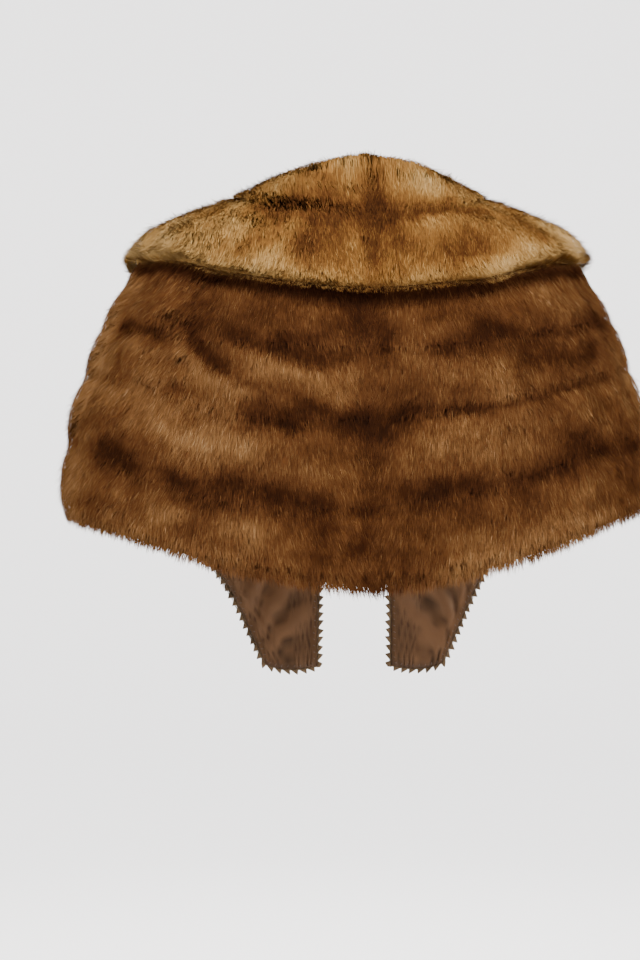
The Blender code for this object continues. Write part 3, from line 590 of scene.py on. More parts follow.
for word, side in SIDES.items():
    for row in range(1, HEM + 1):
        u_line = np.linspace(GRID_START, 1.0, ROUND_PLACES)
        t_end = HEM_GRID_END if row == HEM else ROW_GRID_END
        t_line = np.linspace(GRID_START, t_end, DOWN_PLACES)
        u, t = np.meshgrid(u_line, t_line, indexing="ij")
        top, bottom = row_edges(side, row, u_line)
        share = top[:, None] + (bottom - top)[:, None] * t
        leather, normal, down = cloth(side, u, share)
        # How high the fur stands.
        level = np.interp(t, *zip(*(HEM_HEIGHTS if row == HEM else ROW_HEIGHTS)))
        trough = 1.0 - 0.22 * np.exp(-(u / 0.014) ** 2)
        waves = 1.0 + 0.10 * lumps(leather, 0.035, 3.1) + 0.06 * lumps(leather, 0.014, 7.7)
        marks, crease = marked(BODY_MARKS, side * u, share, BODY_ROUND, BODY_DOWN)
        marks *= 1.0 + 0.7 * lumps(leather, 0.026, 6.6)
        marks *= 1.0 - 0.35 * smooth_step((u - 0.42) / 0.06)
        if side < 0:
            waves += 0.28 * np.exp(-((u - 0.46) / 0.12) ** 2 - ((share - 0.84) / 0.13) ** 2)
        height = fur_depth(u.ravel(), share.ravel()).reshape(u.shape) * level * trough * waves * crease
        free = np.clip((1.0 - t) / 0.16, 0.12, 1.0) if row == HEM else np.ones(t.shape)
        fur = Fur(leather, normal, height, ROOT_HEIGHT * free)
        if row == HEM:
            fur.face_out(smooth_step((t - 0.80) / 0.16))
        # Which way the hair points.
        outward = unit(np.gradient(leather, axis=0))
        swing = np.interp(u, *zip(*BODY_SWING[side])) + 14 * lumps(leather, 0.045, 11.3)
        nap = nap_way(normal, down, outward, swing)
        along_tab = (0.9 * smooth_step((u - 0.60) / 0.20))[..., None]
        nap = unit(nap * (1 - along_tab) + outward * along_tab)
        # How pale it is.
        # Painted shadow: each row below the first is darker along its top, where the hair of the row above
        # lies over it, more in some places than in others.
        seam = np.exp(-(np.maximum(t, 0) / 0.12) ** 2) * (0 if row == 1 else 1)
        flat = leather * (1.0, 1.0, 1.8)
        # Painted light: the term at u 0.45 makes the fur paler near the outline that the shoulders make
        # seen from behind.
        tone = (0.50 + 0.17 * lumps(flat, 0.070, 1.9) + 0.13 * lumps(flat, 0.028, 5.3)
                - 0.10 * seam * (0.8 + 0.9 * lumps(leather, 0.05, 9.1))
                - 0.07 * np.exp(-(u / 0.010) ** 2) + 0.15 * np.exp(-((u - 0.45) / 0.05) ** 2) + marks)
        # Painted shadow: a dark band on the body just below the collar's edge, where the collar shades it.
        # It is strongest and widest at the centre back and gone towards the front.
        edge = collar_edge(u.ravel()).reshape(u.shape)
        thin = smooth_step((u - 0.04) / 0.16)
        tone -= ((0.46 - 0.10 * thin) * np.exp(-((share - edge - 0.026) / (0.024 - 0.011 * thin)) ** 2)
                 * smooth_step((0.6 - u) / 0.2))
        if row == HEM:
            tone += 0.10 * np.exp(-((1.0 - t) / 0.16) ** 2) * smooth_step((u - 0.03) / 0.08)
        # The underfur and the hair over it, denser and longer at the hem.
        name = f"fur_row_{row}_{word}"
        u_at, t_at = np.meshgrid(np.linspace(0, 1, SKIN_COLUMNS), np.linspace(0, 1, ROW_SKIN_ROWS),
                                 indexing="ij")
        inside_row = (t >= 0) & (t <= 1) & (u >= -0.004)
        where = inside_row * (share > edge - 0.035) * 1.0
        reach = np.full(u.shape, HAIR_REACH)
        if row == HEM:
            t_at = t_at * (1.06 - 0.06 * smooth_step((u_at - 0.78) / 0.08))
            where *= 1.0 + 4.4 * np.exp(-((1 - t) / 0.055) ** 2)
            reach *= 1.0 + 0.55 * np.exp(-(u / 0.17) ** 2) * smooth_step((t - 0.84) / 0.14)
        column_at = (u_at - GRID_START) / (1.0 - GRID_START) * (ROUND_PLACES - 1)
        row_at = (t_at - GRID_START) / (t_end - GRID_START) * (DOWN_PLACES - 1)
        underfur = add_underfur(name, fur, tone, column_at, row_at, body_finish,
                                f"body_row_{row}_{word}")
        hair = add_hair(name + "_hair", fur, nap, tone, where, reach, body_finish,
                        100 + row * 10 + side)
        width, length, area = BODY_CUTS[side][row - 1]

# The collar: golden fur in two rows a side, which goes up a short stand at the neck, folds over and
# falls on the shoulders, flat and smooth. Its hair runs up the stand, over the fold and down.
COLLAR_DEPTH = 0.017
STAND_DEPTH = 0.009
FOLD_RADIUS = 0.007
COLLAR_CLEARANCE = 0.0095
FALL_LIFT, FALL_LIFT_SHARE = 0.004, 0.08
# Places along the collar's section at which its guide points lie, from the neck seam to the edge.
COLLAR_KNOTS = (0.0, 1.5, 2.2, 2.9, 3.6, 4.6, 6.0, 7.0, 9.0, 11.0, 13.0, 15.0)
COLLAR_SEAM = 7.0
COLLAR_EDGE = 15.0
PLACE_LENGTH = 0.0055
COLLAR_COLOURS = ((0.0, (0.0160, 0.0055, 0.0024)), (0.25, (0.0530, 0.0195, 0.0056)),
                  (0.5, (0.1350, 0.0620, 0.0160)), (0.75, (0.2450, 0.1420, 0.0470)),
                  (1.0, (0.3700, 0.2500, 0.1120)))
collar_finish = hair_finish("golden_fur", COLLAR_COLOURS, 0.85)
COLLAR_SWING = ((-0.02, -6), (0.05, -10), (0.14, -20), (0.28, -44), (0.42, -58), (0.55, -40),
                (0.75, 0), (1.0, 0))
# Marks as on the body, with places in u and in places along the collar's section. The dark ones are
# partly darker fur and partly painted shade in the crease between the roll and the fall, and some
# pale ones at its sides are painted light that lifts that shade.
COLLAR_MARKS = (
    (-0.17, 0.0045, ((-0.284, 8.0), (-0.236, 7.5), (-0.168, 7.1), (-0.104, 7.0), (-0.06, 7.7),
         (-0.02, 8.2))),
    (-0.13, 0.0045, ((-0.256, 8.3), (-0.192, 8.7), (-0.144, 9.1), (-0.108, 9.1), (-0.056, 8.8),
         (-0.004, 9.1))),
    (-0.24, 0.0050, ((0.0, 7.1), (0.028, 7.2))),
    (-0.12, 0.0060, ((0.02, 7.9), (0.02, 9.0))),
    (-0.14, 0.0070, ((-0.108, 10.1), (-0.096, 12.4))),
    (-0.16, 0.0090, ((-0.216, 9.8), (-0.216, 12.0), (-0.22, 13.8))),
    (-0.14, 0.0035, ((0.012, 10.1), (0.008, 12.4), (0.004, 15.0))),
    (-0.10, 0.0080, ((-0.376, 10.2), (-0.348, 12.0))),
    (0.16, 0.0060, ((-0.156, 10.0), (-0.156, 12.9), (-0.18, 14.3))),
    (0.22, 0.0100, ((-0.544, 13.9), (-0.372, 14.4))),
    (0.10, 0.0090, ((-0.032, 9.2), (-0.028, 12.1))),
    (0.12, 0.0100, ((-0.156, 4.7), (-0.048, 5.0))),
    (0.08, 0.0080, ((-0.296, 14.9), (-0.228, 15.0), (-0.18, 15.0))),
    (-0.34, 0.0040, ((0.048, 8.4), (0.1, 8.3), (0.156, 8.1), (0.212, 7.8), (0.26, 8.6), (0.304, 9.1))),
    (-0.24, 0.0050, ((0.028, 6.7), (0.032, 7.2))),
    (-0.20, 0.0060, ((0.428, 7.3), (0.432, 8.1), (0.436, 9.3))),
    (-0.16, 0.0080, ((0.208, 11.8), (0.14, 13.3))),
    (-0.12, 0.0060, ((0.212, 12.6), (0.256, 12.7))),
    (-0.12, 0.0060, ((0.34, 13.6), (0.376, 13.2))),
    (-0.10, 0.0080, ((0.056, 10.8), (0.048, 12.4))),
    (0.24, 0.0090, ((0.16, 5.8), (0.196, 6.3))),
    (0.14, 0.0070, ((0.132, 9.4), (0.104, 12.1))),
    (0.16, 0.0060, ((0.156, 14.1), (0.224, 14.4), (0.296, 15.0), (0.532, 13.9))),
    (0.16, 0.0070, ((0.42, 13.8), (0.424, 14.6))),
    (0.08, 0.0060, ((0.204, 9.5), (0.296, 9.5))),
    (0.10, 0.0110, ((-0.24, 7.0), (-0.46, 8.0))),
    (0.05, 0.0110, ((0.26, 7.0), (0.46, 8.4))),
    (0.12, 0.0150, ((-0.24, 11.5), (-0.34, 12.0), (-0.48, 13.0))),
    (-0.16, 0.0200, ((-0.12, 11.0), (0.10, 11.5))),
    (-0.20, 0.0050, ((-0.56, 8.0), (-0.66, 7.6))),
    (0.14, 0.0090, ((-0.50, 11.0), (-0.62, 12.0))),
    (-0.20, 0.0050, ((0.57, 7.4), (0.70, 8.0))),
    (0.14, 0.0090, ((0.52, 12.0), (0.66, 11.0))),
)
COLLAR_ROUND, COLLAR_DOWN = 0.45, 0.0058
# How high the fur stands along the section of each row. Columns: place, height.
TOP_HEIGHTS = ((0.0, 0.60), (0.7, 0.95), (1.7, 1.0), (4.2, 1.0), (5.4, 0.98), (7.0, 0.90), (9.0, 0.80))
LOW_HEIGHTS = ((6.5, 0.62), (7.0, 0.66), (8.2, 0.86), (10.5, 1.0), (12.8, 1.0), (14.5, 0.95), (17.0, 0.68))


def collar_lines(side, u):
    """Guide points of the collar's leather at u: up the stand, over the roll and down the fall."""
    neck, normal, down = cloth(side, u, np.zeros(len(u)))
    stand, upright = column(COLLAR, 1, u)[:, None], column(COLLAR, 2, u)[:, None]
    seam, edge = column(COLLAR, 3, u), column(COLLAR, 4, u)
    rise = unit(-down * (1 - upright) + np.array((0, 0, 1)) * upright)
    out = unit(normal - rise * (normal * rise).sum(axis=1, keepdims=True))
    radius = FOLD_RADIUS
    roll = [neck + rise * SEAM_GAP,
            neck + rise * stand,
            neck + rise * (stand + 0.7 * radius) + out * 0.3 * radius,
            neck + rise * (stand + radius) + out * radius,
            neck + rise * (stand + 0.6 * radius) + out * 1.75 * radius,
            neck + rise * (stand * 0.7 - 0.001) + out * 2.1 * radius]
    shares = [seam * 0.6] + [seam + (edge - seam) * part for part in (0.0, 0.25, 0.5, 0.75, 1.0)]
    fall = []
    for share in shares:
        point, normal, _ = cloth(side, u, share)
        lift = COLLAR_CLEARANCE + FALL_LIFT * np.exp(-(share / FALL_LIFT_SHARE) ** 2)
        fall.append(point + normal * lift[:, None])
    return np.array(roll + fall)


def collar_skin(side, u, way):
    """The collar's leather, its normal to the hair side and the direction towards its edge."""
    step, shift = 0.02, 0.003
    lines = collar_lines(side, u)
    point = through(COLLAR_KNOTS, lines, way)
    low = np.clip(way, 0.0, COLLAR_EDGE - step)
    along = through(COLLAR_KNOTS, lines, low + step) - through(COLLAR_KNOTS, lines, low)
    beside = (through(COLLAR_KNOTS, collar_lines(side, u + shift), low)
              - through(COLLAR_KNOTS, collar_lines(side, u - shift), low))
    return point, unit(np.cross(along, beside)) * side, unit(along)


def collar_depth(u, way):
    depth = STAND_DEPTH + (COLLAR_DEPTH - STAND_DEPTH) * smooth_step((way - 1.0) / 4.0)
    return depth * (1.0 - 0.5 * smooth_step((u - COLLAR_END + 0.10) / 0.10))


def collar_grid(side, u_line, way_line):
    """The collar's leather on a grid. At the centre back its normals point straight back, and past
    its edge it goes straight on."""
    u, way = np.meshgrid(u_line, way_line, indexing="ij")
    inside = np.clip(way.ravel(), 0.0, COLLAR_EDGE)
    point, normal, down = collar_skin(side, u.ravel(), inside)
    normal[:, 0] *= np.sign(u.ravel()) * smooth_step(np.abs(u.ravel()) / 0.05)
    normal = unit(normal)
    point = point + down * ((way.ravel() - inside) * PLACE_LENGTH)[:, None]
    return u, way, [item.reshape(u.shape + (3,)) for item in (point, normal, down)]


COLLAR_CUTS = {"top": (0.079, 0.544, 0.0306), "low": (0.128, 0.660, 0.0516)}
# Columns: row, first and last place, heights, and how many places its hair reaches past the last.
COLLAR_ROWS = (("top", 0.0, COLLAR_SEAM, TOP_HEIGHTS, 2.0),
               ("low", COLLAR_SEAM, COLLAR_EDGE, LOW_HEIGHTS, 1.6))
COLLAR_SKIN_ROWS, COLLAR_SKIN_END = 18, 14.7
for word, side in SIDES.items():
    for place, first, last, heights, beyond in COLLAR_ROWS:
        u_line = np.linspace(GRID_START, COLLAR_END, ROUND_PLACES)
        way_line = np.linspace(first, last + beyond, DOWN_PLACES)
        u, way, (leather, normal, down) = collar_grid(side, u_line, way_line)
        # How high the fur stands.
        level = np.interp(way, *zip(*heights))
        parting = np.exp(-(u / 0.014) ** 2) * smooth_step((way - 6.5) / 2.0)
        trough = 1.0 - 0.14 * parting
        waves = 1.0 + 0.08 * lumps(leather, 0.035, 2.2) + 0.06 * lumps(leather, 0.014, 8.7)
        marks, crease = marked(COLLAR_MARKS, side * u, way, COLLAR_ROUND, COLLAR_DOWN)
        marks *= 1.0 + 0.6 * lumps(leather, 0.022, 6.1)
        marks *= 1.0 - 0.45 * smooth_step((u - 0.42) / 0.06)
        if side > 0:
            waves += 0.24 * np.exp(-((u - 0.23) / 0.06) ** 2 - ((way - 5.2) / 2.2) ** 2)
        height = collar_depth(u, way) * level * trough * waves * crease
        free = np.clip((COLLAR_EDGE - way) / 1.6, 0.12, 1.0)
        fur = Fur(leather, normal, height, (ROOT_HEIGHT + 0.06) * free)
        dip = 0.9 * np.exp(-((way - 7.6) / 1.8) ** 2)
        fur.face_out(np.maximum(smooth_step((way - 12.4) / 2.2), dip))
        # Which way the hair points.
        outward = unit(np.gradient(leather, axis=0))
        hang = 1.0 - (0.4 + 0.45 * smooth_step((u - 0.3) / 0.12)) * smooth_step((way - 12.0) / 2.4)
        swing = np.interp(u, *zip(*COLLAR_SWING)) * hang + 12 * lumps(leather, 0.045, 12.3)
        swing = np.radians(swing)
        side_way = unit(outward - down * (outward * down).sum(-1, keepdims=True))
        nap = down * np.cos(swing)[..., None] + side_way * np.sin(swing)[..., None]
        # How pale it is.
        # Painted shadow: the low row is darker just below the collar's seam, where the top row's hair lies
        # over it, towards the centre back.
        past_seam = way - COLLAR_SEAM
        seam = np.exp(-(past_seam / 0.9) ** 2) * (past_seam > 0) * smooth_step((0.34 - u) / 0.2)
        flat = leather * (1.0, 1.0, 1.5)
        # Painted light: the term at the collar's edge makes its hair paler along the lower edge, where the
        # fur turns down away from the light.
        tone = (0.50 + 0.16 * lumps(flat, 0.055, 4.9) + 0.12 * lumps(leather, 0.022, 6.3)
                - 0.10 * seam * (0.8 + 0.9 * lumps(leather, 0.05, 9.7))
                - 0.06 * parting + 0.17 * np.exp(-((COLLAR_EDGE - way) / 1.1) ** 2) + marks)
        # The underfur and the hair over it, denser at the edge.
        name = f"collar_{place}_{word}"
        u_at, way_at = np.meshgrid(np.linspace(0, COLLAR_END, SKIN_COLUMNS),
                                   np.linspace(first, min(last, COLLAR_SKIN_END), COLLAR_SKIN_ROWS),
                                   indexing="ij")
        inside_row = (way >= first) & (way <= last) & (u >= -0.009)
        where = inside_row * (1.0 + 1.2 * np.exp(-((COLLAR_EDGE - way) / 1.5) ** 2))
        column_at = (u_at - GRID_START) / (COLLAR_END - GRID_START) * (ROUND_PLACES - 1)
        row_at = (way_at - first) / (last + beyond - first) * (DOWN_PLACES - 1)
        underfur = add_underfur(name, fur, tone, column_at, row_at, collar_finish,
                                f"collar_{place}_row_{word}")
        hair = add_hair(name + "_hair", fur, nap, tone, where, np.full(u.shape, HAIR_REACH * 1.05),
                        collar_finish, 300 + side + (10 if place == "low" else 0))
        width, length, area = COLLAR_CUTS[place]

# The lining: taupe satin, one piece for each side, felled to the leather along the centre back, the
# neck and the trim. It is cut with a little ease, so it lies in soft drags and puckers at its seams.
LINING_OUTSIDE = 0.0004
LINING_THICKNESS = 0.0006
TRIM_INSET = 0.004
LINING_INSET = 0.0008
TRIM_START = 0.92
# Columns: side, u and share at the middle, half width in u, half length in share, lean in u for each
# share, and how far the satin stands off the leather.
LINING_DRAGS = (
    (-1, 0.895, 0.50, 0.008, 0.50, 0.045, 0.0054), (-1, 0.922, 0.55, 0.007, 0.60, 0.040, 0.0065),
    (-1, 0.950, 0.45, 0.006, 0.55, 0.035, 0.0061), (-1, 0.974, 0.50, 0.005, 0.50, 0.025, 0.0050),
    (1, 0.890, 0.45, 0.007, 0.55, 0.040, 0.0058), (1, 0.915, 0.55, 0.008, 0.50, 0.045, 0.0054),
    (1, 0.944, 0.50, 0.006, 0.60, 0.030, 0.0065), (1, 0.970, 0.50, 0.005, 0.50, 0.030, 0.0050),
    (-1, 0.060, 0.62, 0.012, 0.30, 0.060, 0.0054), (-1, 0.150, 0.55, 0.014, 0.34, -0.080, 0.0065),
    (-1, 0.240, 0.66, 0.012, 0.28, 0.100, 0.0061), (-1, 0.330, 0.48, 0.014, 0.32, 0.060, 0.0068),
    (-1, 0.410, 0.60, 0.012, 0.36, -0.060, 0.0061), (-1, 0.500, 0.52, 0.013, 0.36, 0.040, 0.0065),
    (-1, 0.590, 0.62, 0.012, 0.32, -0.090, 0.0058), (-1, 0.680, 0.50, 0.012, 0.38, 0.070, 0.0065),
    (-1, 0.760, 0.56, 0.011, 0.40, 0.050, 0.0061), (-1, 0.830, 0.48, 0.010, 0.42, 0.060, 0.0054),
    (1, 0.080, 0.58, 0.013, 0.32, -0.060, 0.0061), (1, 0.170, 0.64, 0.012, 0.30, 0.090, 0.0054),
    (1, 0.260, 0.52, 0.014, 0.34, 0.050, 0.0068), (1, 0.350, 0.62, 0.012, 0.30, -0.080, 0.0058),
    (1, 0.430, 0.50, 0.013, 0.36, 0.060, 0.0065), (1, 0.520, 0.60, 0.012, 0.34, -0.050, 0.0061),
    (1, 0.610, 0.48, 0.013, 0.36, 0.080, 0.0065), (1, 0.700, 0.60, 0.011, 0.36, -0.060, 0.0058),
    (1, 0.780, 0.52, 0.011, 0.40, 0.060, 0.0061), (1, 0.840, 0.44, 0.010, 0.40, 0.040, 0.0054),
)


def square_to(vectors, along):
    """The part of each vector that is square to the direction beside it."""
    along = unit(along)
    return vectors - along * (vectors * along).sum(axis=-1, keepdims=True)


def ways(u, share):
    """The cloth's two directions for each unit of u and of share, measured inside its edges."""
    step = 0.01
    u, share = np.broadcast_arrays(np.asarray(u, float), np.asarray(share, float))
    low_u, low_share = np.minimum(u, 1.0 - step), np.minimum(share, 1.0 - step)
    start = plain_cloth(low_u, low_share)
    return ((plain_cloth(low_u + step, low_share) - start) / step,
            (plain_cloth(low_u, low_share + step) - start) / step)


def share_over(u, share, distance):
    """How much of the way down lies within this distance of the edge at u and share."""
    round_way, down_way = ways(u, share)
    return distance / np.linalg.norm(square_to(down_way, round_way), axis=1)


def tab_end(share, distance):
    """The place in u that lies this far up from the tab's end."""
    round_way, down_way = ways(np.ones(1), share)
    return 1.0 - distance / np.linalg.norm(square_to(round_way, down_way), axis=1)[0]


def satin_finish(name, dark, light, roughness, painted_fold_share):
    """Woven satin: a soft gloss, slow changes of shade painted in for its sheen, painted light on its
    folds and painted shade between them, and a fine weave in its own map.
    """
    finish = bpy.data.materials.new(name)
    finish.use_nodes = True
    tree = finish.node_tree
    shader = tree.nodes["Principled BSDF"]
    shader.inputs["Roughness"].default_value = roughness
    shader.inputs["Specular IOR Level"].default_value = 0.10
    shader.inputs["Specular Tint"].default_value = (1.0, 0.72, 0.48, 1.0)
    solid = tree.nodes.new("ShaderNodeTexCoord")
    clouds = tree.nodes.new("ShaderNodeTexNoise")
    clouds.inputs["Scale"].default_value = 22.0
    clouds.inputs["Detail"].default_value = 4.0
    tree.links.new(solid.outputs["Object"], clouds.inputs["Vector"])
    shades = tree.nodes.new("ShaderNodeValToRGB")
    shades.color_ramp.elements[0].position = 0.32
    shades.color_ramp.elements[0].color = dark + (1.0,)
    shades.color_ramp.elements[1].position = 0.70
    shades.color_ramp.elements[1].color = light + (1.0,)
    # Painted light and shade of the folds, from the cloth's fold attribute: paler where the cloth stands
    # off.
    fold = tree.nodes.new("ShaderNodeAttribute")
    fold.attribute_name = "fold"
    shade = tree.nodes.new("ShaderNodeMix")
    shade.inputs["Factor"].default_value = painted_fold_share
    tree.links.new(clouds.outputs["Fac"], shade.inputs["A"])
    tree.links.new(fold.outputs["Fac"], shade.inputs["B"])
    tree.links.new(shade.outputs["Result"], shades.inputs["Fac"])
    place = tree.nodes.new("ShaderNodeUVMap")
    place.uv_map = "cloth"
    threads = []
    for direction, scale in (("X", 900.0), ("Y", 620.0)):
        wave = tree.nodes.new("ShaderNodeTexWave")
        wave.bands_direction = direction
        wave.inputs["Scale"].default_value = scale
        wave.inputs["Distortion"].default_value = 0.6
        tree.links.new(place.outputs["UV"], wave.inputs["Vector"])
        threads.append(wave)
    weave = tree.nodes.new("ShaderNodeMix")
    weave.inputs["Factor"].default_value = 0.35
    tree.links.new(threads[0].outputs["Fac"], weave.inputs["A"])
    tree.links.new(threads[1].outputs["Fac"], weave.inputs["B"])
    shaded = tree.nodes.new("ShaderNodeMix")
    shaded.data_type, shaded.blend_type = "RGBA", "SOFT_LIGHT"
    shaded.inputs["Factor"].default_value = 0.22
    tree.links.new(shades.outputs["Color"], shaded.inputs["A"])
    tree.links.new(weave.outputs["Result"], shaded.inputs["B"])
    tree.links.new(shaded.outputs["Result"], shader.inputs["Base Color"])
    bump = tree.nodes.new("ShaderNodeBump")
    bump.inputs["Strength"].default_value = 0.25
    bump.inputs["Distance"].default_value = 0.0001
    tree.links.new(weave.outputs["Result"], bump.inputs["Height"])
    tree.links.new(bump.outputs["Normal"], shader.inputs["Normal"])
    return finish


def lining_places(columns, rows):
    """Places in u and share from edge to edge of the lining, and how far each is from the edges."""
    u_line = np.linspace(0.0, 1.0, columns)
    trimmed = smooth_step((u_line - TRIM_START + 0.03) / 0.02)
    top = share_over(u_line, 0.0, SEAM_GAP + (LINING_INSET - SEAM_GAP) * trimmed)
    bottom = 1.0 - share_over(u_line, 1.0, LINING_INSET)
    part = np.linspace(0.0, 1.0, rows)
    share = top[:, None] + (bottom - top)[:, None] * part
    u = np.repeat(u_line[:, None], rows, axis=1)
    end = np.array([tab_end(value, LINING_INSET) for value in share[-1]])
    u[-1] = end
    u[-2] = np.minimum(u[-2], end - 0.0015)
    return u, share


STITCH_INSET = 0.0035
STITCH_PITCH = 0.007
STITCH_HALF, STITCH_WIDE, STITCH_HIGH = 0.00175, 0.00024, 0.0003
STITCH_SLANT = 0.5
thread = bpy.data.materials.new("brown_thread")
thread.use_nodes = True
thread_shader = thread.node_tree.nodes["Principled BSDF"]
thread_shader.inputs["Base Color"].default_value = (0.022, 0.011, 0.005, 1.0)
thread_shader.inputs["Roughness"].default_value = 0.6


def add_stitches(word, inside, normal, length, depth, u):
    """Small slanted stitches in a row along the edges where the lining meets the trim."""
    seam, faces_in = [], []
    front = int(np.argmax(u[:, 0] > TRIM_START))
    lines = [(inside[i], normal[i], depth[i], depth[i, -1] - STITCH_INSET) for i in range(len(u) - 1)]
    lines += [(inside[:, j], normal[:, j], length[:, j], length[-1, j] - STITCH_INSET)
              for j in range(inside.shape[1] - 2, 1, -1)]
    lines += [(inside[i], normal[i], depth[i], depth[i, 0] + STITCH_INSET)
              for i in range(len(u) - 2, front, -1)]
    for points, normals, measure, at in lines:
        seam.append([np.interp(at, measure, points[:, axis]) for axis in range(3)])
        faces_in.append([-np.interp(at, measure, normals[:, axis]) for axis in range(3)])
    seam, faces_in = np.array(seam), unit(np.array(faces_in))
    travelled = np.concatenate([[0.0], np.cumsum(np.linalg.norm(np.diff(seam, axis=0), axis=1))])
    at = np.arange(0.004, travelled[-1] - 0.004, STITCH_PITCH)

    def along(table, at):
        return np.stack([np.interp(at, travelled, table[:, axis]) for axis in range(3)], axis=1)

    spots, up = along(seam, at), along(faces_in, at)
    ahead = unit(along(seam, at + 0.002) - spots)
    run = unit(np.cross(up, ahead) + ahead * STITCH_SLANT)
    beside = unit(np.cross(run, up))
    ring = [(-1.0, 0.0, -0.5), (-0.4, 1.0, 0.4), (-0.4, -1.0, 0.4), (0.4, 1.0, 0.4), (0.4, -1.0, 0.4),
            (1.0, 0.0, -0.5), (-0.4, 0.0, 1.1), (0.4, 0.0, 1.1)]
    verts = np.concatenate([spots + run * a * STITCH_HALF + beside * b * STITCH_WIDE
                            + up * (c * STITCH_HIGH + 0.0001) for a, b, c in ring])
    number = len(spots)
    sides = [(0, 6, 1), (0, 2, 6), (1, 6, 7, 3), (2, 4, 7, 6), (3, 7, 5), (4, 5, 7), (1, 3, 4, 2),
             (0, 1, 2), (5, 4, 3)]
    faces = [[corner * number + stitch for corner in face] for stitch in range(number) for face in sides]
    mesh = bpy.data.meshes.new(f"lining_stitches_{word}")
    mesh.from_pydata(verts.tolist(), [], faces)
    mesh.shade_smooth()
    mesh.materials.append(thread)
    stitches = bpy.data.objects.new(f"lining_stitches_{word}", mesh)
    bpy.context.scene.collection.objects.link(stitches)
    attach(stitches, "root")
    return stitches


LINING_COLUMNS, LINING_ROWS = 150, 36
GATHER_HEIGHT, GATHER_LENGTH, GATHER_SLANT = 0.0022, 0.021, 0.55
PUCKER_HEIGHT, PUCKER_LENGTH = 0.0007, 0.0091
satin = satin_finish("taupe_satin", (0.0050, 0.0021, 0.0009), (0.0530, 0.0255, 0.0120), 0.30, 0.75)
for word, side in SIDES.items():
    u, share = lining_places(LINING_COLUMNS, LINING_ROWS)
    point, normal, _ = cloth(side, u, share)
    length = np.linalg.norm(np.gradient(point, axis=0), axis=-1).cumsum(axis=0)
    depth = np.linalg.norm(np.gradient(point, axis=1), axis=-1).cumsum(axis=1)
    edge = np.minimum.reduce([depth - depth[:, :1], depth[:, -1:] - depth, length[-1:] - length])
    stand = np.zeros(u.shape)
    for fold_side, middle, level, half_width, half_length, lean, high in LINING_DRAGS:
        if fold_side == side:
            along = (share - level) / half_length
            across = (u - middle - lean * (share - level)) / half_width
            uneven = 0.8 + 0.5 * lumps(point, 0.03, middle * 9)
            stand += high * np.exp(-across ** 2 - along ** 4) * uneven
    stand += 0.0012 * (1 + lumps(point * (1.0, 1.0, 0.6), 0.024, 4.4))
    slant = length + GATHER_SLANT * depth * side
    stand += (GATHER_HEIGHT * smooth_step((u - 0.84) / 0.06) * np.exp(-edge / 0.034)
              * (1 + np.sin(2 * np.pi * slant / GATHER_LENGTH + 2.2 * lumps(point, 0.03, 5.1))))
    stand *= smooth_step(edge / 0.014)
    pucker = (PUCKER_HEIGHT * (1 + np.sin(2 * np.pi * length / PUCKER_LENGTH))
              * np.exp(-(edge / 0.010) ** 2))
    stand = np.maximum(stand, 0) + pucker * smooth_step(edge / 0.0030)
    trimmed = np.minimum(np.minimum(depth[:, -1:] - depth, length[-1:] - length),
                         np.where(u > TRIM_START - 0.02, depth - depth[:, :1], 1.0))
    stand += 0.0014 * (1 - smooth_step((trimmed - 0.004) / 0.004))
    outside = point - normal * (LINING_OUTSIDE + stand)[..., None]
    inside = point - normal * (LINING_OUTSIDE + LINING_THICKNESS + stand)[..., None]
    satin_lining = add_shell(f"satin_lining_{word}", inside, outside, satin, f"lining_{word}")
    map_shell(satin_lining, "cloth", length, depth)
    # Painted light and shade: the satin is paler where it stands off the leather in a fold and darker
    # where it lies close.
    fold = np.tile(np.clip(0.22 + stand / 0.0078, 0, 1).ravel(), 2)
    satin_lining.data.attributes.new("fold", "FLOAT", "POINT").data.foreach_set("value", fold)
    stitches = add_stitches(word, inside, normal, length, depth, u)

# The trim: taupe satin points, each a square of cloth folded to a triangle, set in a row on a tape
# that is sewn between the fur and the lining round the hem, the tab ends and a little up the front.
TOOTH_DEPTH = 0.006
TOOTH_PITCH = 0.0091
TOOTH_SWING = 0.34
TAPE_OUTSIDE, TAPE_INSIDE = 0.0007, 0.0017
TAPE_HALF, TAPE_EDGE = 0.00028, 0.0008
TAPE_COLUMNS, TAPE_ROWS = 320, 3
TOOTH_COLUMNS, TOOTH_ROWS = 7, 4


def trimmed_edge(side):
    """The points of the edge that carries the trim, its ways outwards and its normals, in order."""
    u = np.linspace(0.0, 1.0, 140)
    tab_shares = np.linspace(0.95, 0.05, 12)
    hem_u = np.append(u[:-1], (tab_end(1.0, TRIM_INSET), 1.0))
    front_u = np.append((1.0, tab_end(0.0, TRIM_INSET)), u[-2:np.sum(u < TRIM_START) - 1:-1])
    stretches = ((hem_u, np.ones(len(hem_u))), (np.ones(len(tab_shares)), tab_shares),
                 (front_u, np.zeros(len(front_u))))
    hem, tab, front = [ways(u, share) for u, share in stretches]
    hem_out = unit(square_to(hem[1], hem[0]))
    tab_out = unit(square_to(tab[0], tab[1]))
    front_out = -unit(square_to(front[1], front[0]))
    hem_out[-1] += tab_out[0]
    front_out[0] += tab_out[-1]
    out = np.concatenate([unit(hem_out), tab_out, unit(front_out)]) * (side, 1, 1)
    sewn = [cloth(side, u, share) for u, share in stretches]
    return (np.concatenate([line[0] for line in sewn]), out,
            np.concatenate([line[1] for line in sewn]))


